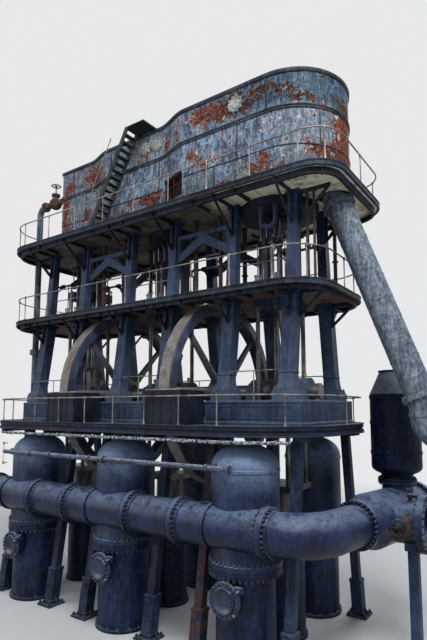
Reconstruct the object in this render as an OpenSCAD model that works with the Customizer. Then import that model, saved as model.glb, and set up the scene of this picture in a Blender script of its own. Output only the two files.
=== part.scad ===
// Vertical triple-expansion waterworks pumping engine, origin on the pit floor under the middle cylinder.
// X runs along the crankshaft towards the low-pressure end, -Y is the front, Z is up.

/* [Levels] */
// Height of the operating deck above the pit floor
deck_h = 6100; // [5700:50:6400]
// Height of the crankshaft axis above the operating deck
axle_h = 1100; // [1050:10:1200]
// Height of the lower gallery above the operating deck
low_gallery_h = 4100; // [4050:10:4300]
// Height of the upper gallery above the operating deck
high_gallery_h = 7150; // [6900:50:7600]
// Height of the cylinder casing above the upper gallery
casing_h = 3350; // [3000:50:3800]

/* [Plan] */
// Distance between neighbouring cylinder axes
pitch = 4500; // [4400:20:4800]
// Distance from a cylinder axis to its columns, along the shaft
column_dx = 1030; // [980:10:1080]
// Distance from a cylinder axis to its pit legs, along the shaft
leg_dx = 1380; // [1340:10:1410]
// Distance from the shaft line to a pit leg's foot
leg_foot_y = 2580; // [2500:20:2640]
// Distance from the shaft line to a pit leg's head
leg_head_y = 1700; // [1660:10:1740]
// Distance from the shaft line to a column's foot on the bedplate
column_foot_y = 1620; // [1580:10:1660]
// Distance from the shaft line to a column at the lower gallery
column_mid_y = 1220; // [1180:10:1260]
// Distance from the shaft line to a column's head under the cylinders
column_head_y = 1020; // [980:10:1060]

/* [Columns and legs] */
// Width of a pit leg
leg_w = 250; // [200:10:270]
// Width of the boot at the bottom of a pit leg
leg_boot_w = 350; // [320:10:400]
// Height of the boot at the bottom of a pit leg
leg_boot_h = 1100; // [900:50:1300]
// Width of a lower column at its foot
low_column_foot_w = 500; // [460:10:540]
// Width of a lower column above its flared foot
low_column_w = 400; // [360:10:440]
// Height of the flared foot of a lower column
low_column_flare_h = 420; // [300:10:500]
// Width of an upper column at its foot
high_column_foot_w = 330; // [300:10:380]
// Width of an upper column at its head
high_column_head_w = 270; // [240:10:300]
// Radius of the anchor bolt holes in the feet of the pit legs
anchor_r = 22; // [16:1:28]
// Thickness of the flange plates at feet and heads
flange_t = 60; // [40:5:80]

/* [Bedplates] */
// Half length of a bedplate along the shaft
bed_half_x = 1560; // [1540:10:1620]
// Half width of a bedplate across the shaft
bed_half_y = 1950; // [1920:10:2000]
// Height of a bedplate
bed_h = 800; // [740:10:820]
// Half length of the crank pit in a bedplate
crank_pit_x = 560; // [520:10:580]
// Half width of the crank pit in a bedplate
crank_pit_y = 1150; // [1120:10:1180]

/* [Crankshaft and flywheels] */
// Crankshaft radius
shaft_r = 230; // [200:5:250]
// Crank throw, half of the stroke
crank_r = 840; // [800:10:880]
// Crank pin radius
crank_pin_r = 190; // [160:5:210]
// Thickness of a crank web
web_t = 230; // [200:5:250]
// Distance from a cylinder axis to the inner face of a crank web
web_x = 230; // [225:5:250]
// Flywheel outer radius
wheel_r = 3050; // [2950:10:3080]
// Flywheel rim width along the shaft
wheel_rim_w = 440; // [380:10:480]
// Depth of the flywheel rim
wheel_rim_depth = 360; // [300:10:420]
// Number of flywheel spokes
wheel_spokes = 8; // [6:1:10]
// Flywheel hub radius
wheel_hub_r = 560; // [500:10:620]
// Flywheel hub length
wheel_hub_w = 620; // [560:10:680]
// Half length of a main bearing
bearing_half = 190; // [160:10:200]
// Distance from a cylinder axis to its main bearings
bearing_dx = 800; // [780:10:830]

/* [Reciprocating gear] */
// Length of a connecting rod between its pins
rod_length = 3300; // [3200:20:3400]
// Piston rod radius
piston_rod_r = 95; // [80:5:110]
// Pump rod radius
pump_rod_r = 70; // [50:5:80]
// Distance of the pump rods from the cylinder axis, along the shaft
pump_rod_x = 490; // [485:1:500]
// Distance of the pump rods from the shaft line
pump_rod_y = 600; // [560:10:640]
// Half width of a crosshead along the shaft
crosshead_half_x = 560; // [540:5:600]

/* [Pumps] */
// Radius of a lower pump chamber
chamber_r = 800; // [760:10:820]
// Radius of an upper pump chamber
dome_r = 930; // [900:10:950]
// Distance from the shaft line to the outer pump chambers
chamber_y = 2240; // [2200:10:2280]
// Height of the bolted joint of a pump chamber above the pit floor
chamber_joint_h = 2560; // [2450:10:2600]
// Clear height between a pump chamber's dome and the operating deck's top
dome_drop = 340; // [330:10:420]
// Radius of a plunger barrel
plunger_barrel_r = 620; // [560:10:660]
// Radius of the manhole neck
manhole_r = 340; // [300:10:360]
// Height of the manholes above the pit floor
manhole_h = 1900; // [1850:10:1960]

/* [Discharge main] */
// Radius of the discharge main
main_r = 545; // [520:5:560]
// Distance from the shaft line to the discharge main
main_y = 2900; // [2890:10:2940]
// Height of the discharge main above the pit floor
main_h = 3590; // [3570:10:3640]
// Length of a tee of the discharge main from its chamber's axis upstream
tee_in = 1670; // [1600:10:1720]
// Length of a tee of the discharge main from its chamber's axis downstream
tee_out = 1070; // [1060:10:1120]
// Centre line radius of the main's bend to the rear
bend_r = 1300; // [1280:10:1360]
// Angle through which the main turns to the rear
bend_turn = 80; // [76:1:84]
// Radius of the tee under the air vessel
body_r = 750; // [720:10:780]
// Radius of the air vessel
vessel_r = 730; // [700:10:740]

/* [Platforms] */
// Half width of the operating deck
deck_half_y = 3300; // [3290:10:3360]
// Thickness of the operating deck plate, which lies level with the bedplates' feet
deck_t = 100; // [80:5:110]
// Depth of the operating deck's moulded rim
deck_rim_h = 260; // [220:10:280]
// Half width of the lower gallery
low_gallery_half_y = 2300; // [2240:10:2360]
// Half width of the upper gallery
high_gallery_half_y = 2400; // [2340:10:2460]
// Thickness of a gallery's plate and edge
gallery_t = 150; // [120:5:180]
// Height of the handrails
rail_h = 950; // [900:10:1060]
// Radius of a handrail post
rail_post_r = 20; // [16:1:24]
// Width of the handrails
rail_w = 52; // [50:1:70]

/* [Cylinder casing] */
// Half width of the casing at the low-pressure cylinder
wide_half_y = 1800; // [1760:10:1820]
// Half width of the casing at the intermediate cylinder
middle_half_y = 1420; // [1380:10:1460]
// Half width of the casing at the high-pressure cylinder
narrow_half_y = 1120; // [1080:10:1160]
// Projection of the casing's mouldings
moulding_out = 35; // [20:5:50]

/* [Pipes] */
// Radius of the exhaust pipe
exhaust_r = 390; // [360:10:410]
// Radius of the steam inlet pipe
steam_r = 130; // [110:5:150]
// Radius of the equalizing pipe
equalizing_r = 75; // [60:5:90]

/* [Hidden] */
gap = 0.3;
reach = 30000;
cyl_x = [-pitch, 0, pitch];
wheel_x = [-pitch / 2, pitch / 2];
crank_angle = [90, 210, 330];
axle_z = deck_h + axle_h;
low_gallery_z = deck_h + low_gallery_h;
high_gallery_z = deck_h + high_gallery_h;
casing_top_z = high_gallery_z + casing_h;
bed_top_z = deck_h + bed_h;
pedestal_h = 320;
column_base_z = bed_top_z + pedestal_h;
column_split_z = low_gallery_z - gallery_t;
column_top_z = high_gallery_z - gallery_t;
dome_top_z = deck_h - dome_drop;

// Depth ratio along a straight line between two levels
function between(a, b, z0, z1, z) = a + (b - a) * (z - z0) / (z1 - z0);
// Distance of a pit leg's centre line from the shaft line at a level
function leg_y(z) = between(leg_foot_y, leg_head_y, 0, deck_h, z);
// Distance of a lower column's centre line from the shaft line at a level
function low_column_y(z) = between(column_foot_y, column_mid_y, column_base_z, column_split_z, z);
// Distance of an upper column's centre line from the shaft line at a level
function high_column_y(z) = between(column_mid_y, column_head_y, low_gallery_z, column_top_z, z);
// Quarter of a circle's outline from a starting angle
function quarter(x, y, r, from) = [for (i = [0:12]) let (a = from + 7.5 * i)
    [x + r * cos(a), y + r * sin(a)]];
// Plan of a platform with round corners, of one radius at each end
function rounded_plan(x0, x1, half, r0, r1) = concat(
    quarter(x0 + r0, r0 - half, r0, 180), quarter(x1 - r1, r1 - half, r1, 270),
    quarter(x1 - r1, half - r1, r1, 0), quarter(x0 + r0, half - r0, r0, 90));

// Box-section member between two levels, with its own width at each end
module post(p0, p1, s0, s1) {
    intersection() {
        translate([0, reach, 0]) rotate([90, 0, 0]) linear_extrude(2 * reach)
            polygon([[p0.x - s0.x / 2, p0.z], [p0.x + s0.x / 2, p0.z],
                     [p1.x + s1.x / 2, p1.z], [p1.x - s1.x / 2, p1.z]]);
        translate([-reach, 0, 0]) rotate([90, 0, 90]) linear_extrude(2 * reach)
            polygon([[p0.y - s0.y / 2, p0.z], [p0.y + s0.y / 2, p0.z],
                     [p1.y + s1.y / 2, p1.z], [p1.y - s1.y / 2, p1.z]]);
    }
}
// Block centred in plan on a point, from its bottom upwards
module block(x, y, z, sx, sy, sz) {
    translate([x - sx / 2, y - sy / 2, z]) cube([sx, sy, sz]);
}
// Upright round piece
module drum(x, y, z, r, h) {
    translate([x, y, z]) cylinder(r = r, h = h, $fn = 64);
}
// Round piece along X, from x towards +X
module bar_x(x, y, z, r, l) {
    translate([x, y, z]) rotate([0, 90, 0]) cylinder(r = r, h = l, $fn = 64);
}
// Round piece along Y, from y towards +Y
module bar_y(x, y, z, r, l) {
    translate([x, y, z]) rotate([-90, 0, 0]) cylinder(r = r, h = l, $fn = 64);
}
// Plate whose outline lies in XZ and whose thickness runs along +Y from y
module plate_xz(y, t, points) {
    translate([0, y + t, 0]) rotate([90, 0, 0]) linear_extrude(t) polygon(points);
}
// Plate whose outline lies in YZ and whose thickness runs along +X from x
module plate_yz(x, t, points) {
    translate([x, 0, 0]) rotate([90, 0, 90]) linear_extrude(t) polygon(points);
}

// Ring of holes whose axes run along X
module bolt_ring_x(x, y, z, ring_r, hole_r, count, t) {
    for (i = [0:count - 1]) let (a = 360 * (i + 0.5) / count)
        bar_x(x - t, y + ring_r * cos(a), z + ring_r * sin(a), hole_r, 3 * t);
}

foot_size = leg_boot_w + 300;
anchor_step = leg_boot_w + 160;

module pit_legs() {
    color("slategray") for (x = cyl_x) for (dx = [-leg_dx, leg_dx]) for (s = [-1, 1]) {
        boot_top = flange_t + leg_boot_h;
        head = deck_h - gap;
        union() {
            difference() {
                block(x + dx, s * leg_y(0), 0, foot_size, foot_size, flange_t);
                for (ax = [-1, 1]) for (ay = [-1, 1])
                    drum(x + dx + ax * anchor_step / 2, s * leg_y(0) + ay * anchor_step / 2, -flange_t,
                         anchor_r, 3 * flange_t);
            }
            post([x + dx, s * leg_y(flange_t), flange_t], [x + dx, s * leg_y(boot_top), boot_top],
                 [leg_boot_w, leg_boot_w], [leg_boot_w, leg_boot_w]);
            post([x + dx, s * leg_y(boot_top), boot_top], [x + dx, s * leg_y(head), head],
                 [leg_w, leg_w], [leg_w, leg_w]);
        }
    }
}

barrel_h = chamber_joint_h + 160;
yoke_z = barrel_h + 1500;
yoke_h = 180;

module plunger_barrels() {
    color("midnightblue") for (x = cyl_x) union() {
        drum(x, 0, 0, plunger_barrel_r + 60, 90);
        drum(x, 0, 0, plunger_barrel_r, barrel_h);
        drum(x, 0, barrel_h - 160, plunger_barrel_r + 120, 160);
    }
}

// Plungers at mid height, each hanging from a yoke that its four pump rods carry
module plungers() {
    yoke_x = 2 * pump_rod_x + 2 * pump_rod_r + 100;
    yoke_y = 2 * pump_rod_y + 2 * pump_rod_r + 100;
    color("silver") for (x = cyl_x) union() {
        drum(x, 0, barrel_h + gap, plunger_barrel_r - 140, yoke_z - barrel_h);
        block(x, 0, yoke_z, yoke_x, yoke_y, yoke_h);
    }
}

// Distance from the shaft line to the ends of the manhole necks, beyond the joint rings
neck_end = chamber_y + dome_r + 60 + gap;

module lower_chambers() {
    color("midnightblue") for (x = cyl_x) for (s = [-1, 1]) union() {
        drum(x, s * chamber_y, 0, chamber_r + 60, 90);
        drum(x, s * chamber_y, 0, chamber_r, chamber_joint_h);
        drum(x, s * chamber_y, chamber_joint_h - 150, dome_r + 60, 150);
        intersection() {
            bar_y(x, min(0, s * neck_end), manhole_h, manhole_r, neck_end);
            translate([x - manhole_r, s > 0 ? chamber_y : -chamber_y - 2 * chamber_r, 0])
                cube([2 * manhole_r, 2 * chamber_r, reach]);
        }
    }
}

// Bosses of the front chambers that the equalizing pipe joins
boss_dx = 300;
boss_z = dome_top_z - 640;
boss_r = 115;
boss_end = chamber_y + dome_r + 20;

module upper_chambers() {
    color("midnightblue") for (x = cyl_x) {
        translate([x, chamber_y, 0]) dome();
        union() {
            translate([x, -chamber_y, 0]) dome();
            bar_y(x - boss_dx, -boss_end, boss_z, boss_r, 400);
        }
    }
}
// Upper chamber with a flange at its foot and an elliptical head
module dome() {
    head_h = 650;
    wall_top = dome_top_z - head_h;
    rotate_extrude($fn = 64) polygon(concat(
            [[0, chamber_joint_h], [dome_r + 60, chamber_joint_h],
             [dome_r + 60, chamber_joint_h + 150], [dome_r, chamber_joint_h + 150], [dome_r, wall_top]],
            [for (t = [7.5:7.5:90]) [dome_r * cos(t), wall_top + head_h * sin(t)]]));
}

module manhole_covers() {
    cover_r = manhole_r + 110;
    color("midnightblue") for (x = cyl_x) for (s = [-1, 1]) translate([x, s * neck_end, manhole_h])
        rotate([s * -90, 0, 0]) union() {
            cylinder(r = cover_r, h = 80, $fn = 64);
            cylinder(r = manhole_r - 60, h = 150, $fn = 64);
        }
}

// Straight run of the discharge main with bolted flanges at its two ends
module main_run(x0, x1) {
    flange = 75;
    bar_x(x0, -main_y, main_h, main_r, x1 - x0);
    bar_x(x0, -main_y, main_h, main_r + 105, flange);
    bar_x(x1 - flange, -main_y, main_h, main_r + 105, flange);
}

module discharge_tees() {
    band_x = 640;
    color("slategray") for (x = cyl_x) difference() {
        union() {
            main_run(x - tee_in, x + tee_out);
            bar_x(x - band_x, -main_y, main_h, main_r + 45, 80);
        }
        drum(x, -chamber_y, 0, dome_r + gap, reach);
    }
}

module discharge_pipes() {
    color("slategray") for (i = [0:1]) main_run(cyl_x[i] + tee_out, cyl_x[i + 1] - tee_in);
}

module discharge_end_cap() {
    x1 = cyl_x[0] - tee_in;
    color("slategray") union() {
        bar_x(x1 - 75, -main_y, main_h, main_r + 105, 75);
        translate([x1 - 75, -main_y, main_h]) rotate([0, -90, 0]) rotate_extrude($fn = 64)
            polygon(concat([[0, 0], [main_r, 0], [main_r, 250]],
                [for (t = [10:10:90]) [main_r * cos(t), 250 + 260 * sin(t)]]));
    }
}

// The main turns to the rear round the last pit leg and goes on straight to the vessel's tee
bend_x0 = pitch + tee_out;
bend_tail = 1100;
bend_end = [bend_x0 + bend_r * sin(bend_turn) + bend_tail * cos(bend_turn),
            -main_y + bend_r * (1 - cos(bend_turn)) + bend_tail * sin(bend_turn)];
// Places the level axis of a piece that lies along the turned main, from a distance past the bend
module on_main(d) {
    translate([bend_end.x + d * cos(bend_turn), bend_end.y + d * sin(bend_turn), main_h])
        rotate([0, 0, bend_turn]) rotate([0, 90, 0]) children();
}

module discharge_bend() {
    overlap = 30;
    color("slategray") union() {
        bar_x(bend_x0, -main_y, main_h, main_r + 105, 75);
        translate([bend_x0, bend_r - main_y, main_h]) rotate([0, 0, -88]) rotate_extrude(
            angle = bend_turn - 2, $fn = 96) translate([bend_r, 0]) circle(r = main_r, $fn = 64);
        on_main(-bend_tail - overlap) cylinder(r = main_r - 2, h = bend_tail + overlap - 10, $fn = 64);
        on_main(-75) cylinder(r = main_r + 105, h = 75, $fn = 64);
    }
}
// Round pipe that starts along +X at the origin and turns up through an angle
module arc_xz(angle, arc_r, r) {
    translate([0, 0, arc_r]) rotate([90, 0, 0]) rotate([0, 0, -90])
        rotate_extrude(angle = angle, $fn = 96) translate([arc_r, 0]) circle(r = r, $fn = 48);
}

// Place of the air vessel along the turned main, and the outlet branch beside it
vessel_d = 2500;
vessel_x = bend_end.x + vessel_d * cos(bend_turn);
vessel_y = bend_end.y + vessel_d * sin(bend_turn);
vessel_neck_r = 450;
vessel_foot_z = main_h + body_r + 170;
branch_d = 1150;
branch_r = 560;
branch_y = bend_end.y + branch_d * sin(bend_turn);
branch_x0 = bend_end.x + branch_d * cos(bend_turn);
branch_x1 = branch_x0 + 1350;
end_flange_t = 90;

module vessel_tee() {
    far = vessel_d + 800;
    color("slategray") difference() {
        union() {
            on_main(gap) rotate_extrude($fn = 64) polygon([[0, 0], [main_r + 105, 0],
                [main_r + 105, 75], [main_r, 75], [main_r, 150], [body_r, 620], [body_r, far],
                [body_r + 105, far], [body_r + 105, far + 160], [0, far + 160]]);
            bar_x(branch_x0, branch_y, main_h, branch_r, branch_x1 - branch_x0);
            bar_x(branch_x1 - 2 * end_flange_t, branch_y, main_h, branch_r + 200, 2 * end_flange_t);
            drum(vessel_x, vessel_y, main_h, vessel_neck_r, body_r + 170);
            drum(vessel_x, vessel_y, vessel_foot_z - 70, vessel_neck_r + 110, 70);
        }
        bar_x(branch_x1 - 450, branch_y, main_h, branch_r - 60, 600);
        bolt_ring_x(branch_x1 - end_flange_t, branch_y, main_h, branch_r + 120, 22, 20, end_flange_t);
    }
}

// Cast stand on the pit floor under the outlet branch
module tee_stand() {
    x = branch_x1 - 400;
    color("slategray") difference() {
        union() {
            block(x, branch_y, 0, 560, 560, flange_t);
            block(x, branch_y, 0, 260, 260, main_h - branch_r / 2);
            block(x, branch_y, main_h - branch_r - 120, 300, 700, 220);
        }
        bar_x(x - 300, branch_y, main_h, branch_r + gap, 600);
    }
}

module air_vessel() {
    shoulder = deck_h + 1000;
    top = shoulder + 690;
    bowl = vessel_foot_z + 420;
    color("darkslateblue") translate([vessel_x, vessel_y, 0]) rotate_extrude($fn = 64) polygon(concat(
        [[0, vessel_foot_z + gap], [vessel_neck_r + 110, vessel_foot_z + gap],
         [vessel_neck_r + 110, vessel_foot_z + 70], [vessel_neck_r, vessel_foot_z + 70],
         [vessel_neck_r, vessel_foot_z + 140]],
        [for (t = [-50:10:0]) [vessel_r * cos(t), bowl + 280 * sin(t)]],
        [[vessel_r, shoulder], [420, top], [420, top + 50], [0, top + 50]]));
}

module equalizing_pipe() {
    y = boss_end + 50 + equalizing_r;
    couplings = [-pitch + 900, -pitch + 2000, -550, 80, pitch - 550, pitch + 130];
    color("lightsteelblue") union() {
        bar_x(-pitch - 600, -y, boss_z, equalizing_r, 2 * pitch + 800);
        for (x = couplings) bar_x(x, -y, boss_z, equalizing_r + 35, 50);
        for (x = cyl_x) {
            bar_y(x - boss_dx, -y, boss_z, equalizing_r - 15, y - boss_end - gap);
            bar_y(x - boss_dx, -boss_end - gap - 25, boss_z, boss_r, 25);
        }
    }
}

// Plan of the whole operating deck, whose end stops short of the air vessel
deck_x0 = -pitch - 2700;
deck_x1 = vessel_x - vessel_r - 100;
deck_corner = 2400;
deck_top_z = deck_h + deck_t;
rim_t = 60;
// Half width of the deck inside its rim, at a distance from the middle of the engine
function deck_inner_y(x) = let (edge = x > 0 ? deck_x1 - deck_corner : -deck_x0 - deck_corner,
    past = max(0, abs(x) - edge), r = deck_corner - rim_t)
    deck_half_y - deck_corner + sqrt(r * r - past * past);

module deck_beams() {
    beam_w = 200;
    beam_h = dome_drop - 40;
    y0 = leg_head_y - 100;
    color("slategray") for (s = [-1, 1]) for (x = cyl_x) for (dx = [-leg_dx, leg_dx]) {
        side = x + dx + (dx > 0 ? 1 : -1) * (leg_w / 2 + beam_w / 2 + gap);
        y1 = deck_inner_y(side + (side > 0 ? 1 : -1) * beam_w / 2) - gap;
        block(side, s * (y0 + y1) / 2, deck_h - gap - beam_h, beam_w, y1 - y0, beam_h);
    }
}

module operating_deck() {
    layers = [[deck_h, deck_t, 0], [deck_top_z - deck_rim_h + 90, deck_rim_h - deck_t - 90, 35],
              [deck_top_z - deck_rim_h, 90, 0]];
    color("gray") difference() {
        union() for (l = layers) translate([0, 0, l[0]]) linear_extrude(l[1]) difference() {
            deck_plan(l[2]);
            if (l[0] != deck_h) deck_plan(rim_t);
        }
        for (x = cyl_x) block(x, 0, 0, 2 * bed_half_x + 2 * gap, 2 * bed_half_y + 2 * gap, reach);
        for (x = wheel_x) block(x, 0, 0, wheel_rim_w + 400, 2 * wheel_r + 80, reach);
        drum(steam_x, steam_y, 0, steam_r + 40, reach);
    }
}
// Deck's plan, set back from its edge by a distance
module deck_plan(back) {
    polygon(rounded_plan(deck_x0 + back, deck_x1 - back, deck_half_y - back, deck_corner - back,
        deck_corner - back));
}

// Handrail along a platform's edge, cut into a front, a rear and two end lengths
module rail(x0, x1, half, r0, r1, z, h, step) {
    inset = 40;
    axis = inset + rail_w / 2;
    a0 = x0 + r0;
    a1 = x1 - r1;
    n = round((a1 - a0) / step);
    difference() {
        union() {
            translate([0, 0, z + h - rail_w]) linear_extrude(rail_w) difference() {
                rail_plan(x0, x1, half, r0, r1, inset);
                rail_plan(x0, x1, half, r0, r1, inset + rail_w);
            }
            for (i = [0:n]) for (s = [-1, 1])
                drum(a0 + (a1 - a0) * i / n, s * (half - axis), z, rail_post_r, h - rail_w / 2);
            for (s = [-1, 1]) {
                drum(a0 - (r0 - axis) * cos(45), s * (half - r0 + (r0 - axis) * cos(45)), z, rail_post_r,
                    h - rail_w / 2);
                drum(a1 + (r1 - axis) * cos(45), s * (half - r1 + (r1 - axis) * cos(45)), z, rail_post_r,
                    h - rail_w / 2);
            }
            for (x = [x0 + axis, x1 - axis]) drum(x, 0, z, rail_post_r, h - rail_w / 2);
        }
        for (x = [a0 + 120, a1 - 120]) for (s = [-1, 1]) block(x, s * half, 0, 2 * gap, half, reach);
    }
}
// Plan of a platform, set back from its edge by a distance
module rail_plan(x0, x1, half, r0, r1, back) {
    polygon(rounded_plan(x0 + back, x1 - back, half - back, r0 - back, r1 - back));
}

module deck_rail() {
    color("silver") rail(deck_x0, deck_x1, deck_half_y, deck_corner, deck_corner, deck_top_z,
        rail_h - deck_t, 1350);
}

module bedplates() {
    color("slategray") for (x = cyl_x) difference() {
        union() {
            block(x, 0, deck_h, 2 * bed_half_x, 2 * bed_half_y, bed_h);
            for (dx = [-column_dx, column_dx]) for (s = [-1, 1])
                block(x + dx, s * column_foot_y, deck_h, low_column_foot_w + 200,
                      low_column_foot_w + 120, bed_h + pedestal_h - flange_t);
            for (dx = [-bearing_dx, bearing_dx])
                block(x + dx, 0, deck_h, 2 * bearing_half, 1100, axle_h);
        }
        block(x, 0, 0, 2 * crank_pit_x, 2 * crank_pit_y, reach);
        bar_x(x - 2 * bed_half_x, 0, axle_z, shaft_r + gap, 4 * bed_half_x);
    }
}

module bearing_caps() {
    color("steelblue") for (x = cyl_x) for (dx = [-bearing_dx, bearing_dx]) difference() {
        union() {
            bar_x(x + dx - bearing_half, 0, axle_z, shaft_r + 170, 2 * bearing_half);
            block(x + dx, 0, axle_z, 2 * bearing_half, 1000, 150);
        }
        bar_x(x + dx - reach / 2, 0, axle_z, shaft_r + gap, reach);
        block(x + dx, 0, 0, reach, reach, axle_z + gap);
    }
}

module flywheel_guards() {
    t = 30;
    front = wheel_r + 90;
    half = pitch / 2 - bed_half_x - gap;
    h = axle_h - deck_t;
    color("steelblue") for (x = wheel_x) for (s = [-1, 1]) union() {
        block(x, s * front, deck_top_z, 2 * half, t, h);
        for (e = [-1, 1]) block(x + e * (half - t / 2), s * (front + bed_half_y + 60) / 2, deck_top_z, t,
            front - bed_half_y - 60 + t, h);
    }
}

// Crank web between the shaft and a pin at the top of the given angle
module web(x, angle) {
    translate([x, 0, axle_z]) rotate([angle, 0, 0]) rotate([90, 0, 90]) linear_extrude(web_t) union() {
        circle(r = shaft_r + 150, $fn = 64);
        translate([crank_r, 0]) circle(r = crank_pin_r + 110, $fn = 64);
        translate([0, -shaft_r - 60]) square([crank_r, 2 * shaft_r + 120]);
    }
}

// Crank pin centre in the YZ plane, seen along the shaft
function pin_y(i) = crank_r * cos(crank_angle[i]);
function pin_z(i) = axle_z + crank_r * sin(crank_angle[i]);
// Crosshead pin height above a crank pin for a rod of constant length
function crosshead_z(i) = pin_z(i) + sqrt(rod_length * rod_length - pin_y(i) * pin_y(i));

module crankshaft() {
    color("silver") union() {
        for (i = [0:2]) {
            web(cyl_x[i] - web_x - web_t, crank_angle[i]);
            web(cyl_x[i] + web_x, crank_angle[i]);
            bar_x(cyl_x[i] - web_x - web_t / 2, pin_y(i), pin_z(i), crank_pin_r, 2 * web_x + web_t);
        }
        for (i = [0:1])
            bar_x(cyl_x[i] + web_x + web_t / 2, 0, axle_z, shaft_r, pitch - 2 * web_x - web_t);
        bar_x(cyl_x[0] - bed_half_x + 250, 0, axle_z, shaft_r, bed_half_x - 250 - web_x - web_t / 2);
        bar_x(cyl_x[2] + web_x + web_t / 2, 0, axle_z, shaft_r, bed_half_x - 250 - web_x - web_t / 2);
    }
}

module flywheel(x) {
    spoke_in = wheel_hub_r - 80;
    spoke_out = wheel_r - wheel_rim_depth + 60;
    translate([x, 0, axle_z]) rotate([0, 90, 0]) difference() {
        union() {
            difference() {
                translate([0, 0, -wheel_rim_w / 2]) cylinder(r = wheel_r, h = wheel_rim_w, $fn = 96);
                translate([0, 0, -wheel_rim_w]) cylinder(r = wheel_r - wheel_rim_depth,
                    h = 2 * wheel_rim_w, $fn = 96);
            }
            translate([0, 0, -wheel_hub_w / 2]) cylinder(r = wheel_hub_r, h = wheel_hub_w, $fn = 64);
            for (i = [0:wheel_spokes - 1]) rotate([0, 0, 360 * i / wheel_spokes])
                translate([spoke_in, -130, -100]) cube([spoke_out - spoke_in, 260, 200]);
        }
        translate([0, 0, -wheel_hub_w]) cylinder(r = shaft_r + gap, h = 2 * wheel_hub_w, $fn = 64);
    }
}

module high_pressure_flywheel() {
    color("steelblue") flywheel(wheel_x[0]);
}

module low_pressure_flywheel() {
    color("steelblue") flywheel(wheel_x[1]);
}

module connecting_rods() {
    big_r = crank_pin_r + 150;
    small_r = 230;
    color("silver") for (i = [0:2]) {
        lean = -atan2(pin_y(i), crosshead_z(i) - pin_z(i));
        translate([cyl_x[i], pin_y(i), pin_z(i)]) rotate([-lean, 0, 0]) difference() {
            union() {
                bar_x(-web_x + 20, 0, 0, big_r, 2 * web_x - 40);
                bar_x(-150, 0, rod_length, small_r, 300);
                cylinder(r = 120, h = rod_length, $fn = 48);
            }
            bar_x(-web_x, 0, 0, crank_pin_r + gap, 2 * web_x);
            bar_x(-web_x, 0, rod_length, 120 + gap, 2 * web_x);
        }
    }
}

module crossheads() {
    color("slategray") for (i = [0:2]) translate([cyl_x[i], 0, crosshead_z(i)]) union() {
        for (s = [-1, 1]) block(s * (crosshead_half_x + 160) / 2, 0, -170,
            crosshead_half_x - 160, 2 * pump_rod_y + 260, 340);
        block(0, 0, 260, 2 * crosshead_half_x, 420, 180);
        for (s = [-1, 1]) block(s * (crosshead_half_x + 160) / 2, 0, -170,
            crosshead_half_x - 160, 420, 620);
        bar_x(-200, 0, 0, 120, 400);
    }
}

module crosshead_guides() {
    color("slategray") for (x = cyl_x) for (s = [-1, 1])
        block(x + s * (crosshead_half_x + gap + 50), 0, low_gallery_z, 100, 420,
              column_top_z - low_gallery_z - gap);
}

module piston_rods() {
    color("silver") for (i = [0:2])
        drum(cyl_x[i], 0, crosshead_z(i) + 440, piston_rod_r,
             column_top_z - 420 - gap - crosshead_z(i) - 440);
}

module pump_rods() {
    z0 = yoke_z + yoke_h + gap;
    color("silver") for (i = [0:2]) for (sx = [-1, 1]) for (sy = [-1, 1])
        drum(cyl_x[i] + sx * pump_rod_x, sy * pump_rod_y, z0, pump_rod_r, crosshead_z(i) - 170 - z0 - gap);
}

module lower_columns() {
    z1 = column_split_z - gap;
    levels = concat([for (i = [0:6]) column_base_z + low_column_flare_h * i / 6], [z1]);
    // Half width of a column, which swells in a hollow curve to its foot
    function half(z) = low_column_w / 2 + (low_column_foot_w - low_column_w) / 2
        * pow(max(0, 1 - (z - column_base_z) / low_column_flare_h), 2);
    color("slategray") for (x = cyl_x) for (dx = [-column_dx, column_dx]) for (s = [-1, 1]) union() {
        block(x + dx, s * column_foot_y, column_base_z - flange_t, low_column_foot_w + 160,
              low_column_foot_w + 80, flange_t);
        intersection() {
            plate_xz(s > 0 ? 0 : -reach, reach, side_outline(levels, [for (z = levels) x + dx],
                [for (z = levels) half(z)]));
            plate_yz(x + dx - reach / 2, reach, side_outline(levels, [for (z = levels) s * low_column_y(z)],
                [for (z = levels) half(z)]));
        }
        block(x + dx, s * column_mid_y, z1 - flange_t, low_column_w + 120, low_column_w + 120, flange_t);
    }
}
// Outline of an upright member from its levels, its centres and its half widths there
function side_outline(levels, centres, halves) = let (n = len(levels) - 1) concat(
    [for (i = [0:n]) [centres[i] + halves[i], levels[i]]],
    [for (i = [n:-1:0]) [centres[i] - halves[i], levels[i]]]);

module upper_columns() {
    z0 = low_gallery_z;
    z1 = column_top_z - gap;
    color("slategray") for (x = cyl_x) for (dx = [-column_dx, column_dx]) for (s = [-1, 1]) union() {
        block(x + dx, s * column_mid_y, z0, high_column_foot_w + 120, high_column_foot_w + 120, flange_t);
        post([x + dx, s * column_mid_y, z0], [x + dx, s * column_head_y, z1],
             [high_column_foot_w, high_column_foot_w], [high_column_head_w, high_column_head_w]);
        block(x + dx, s * column_head_y, z1 - flange_t, high_column_head_w + 160,
              high_column_head_w + 120, flange_t);
    }
}

// The exhaust leaves the low-pressure cylinder through the upper gallery, leans outwards in one
// straight length, steepens and turns out. The lean is measured from straight down towards +X.
exhaust_x = pitch + 1900;
exhaust_z = high_gallery_z - gallery_t;
exhaust_lean = 20;
exhaust_neck = 350;
exhaust_run = 6500;
exhaust_turn_r = 1350;
exhaust_out_r = 600;
exhaust_flange_r = exhaust_r + 100;
exhaust_flange_t = 65;
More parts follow.
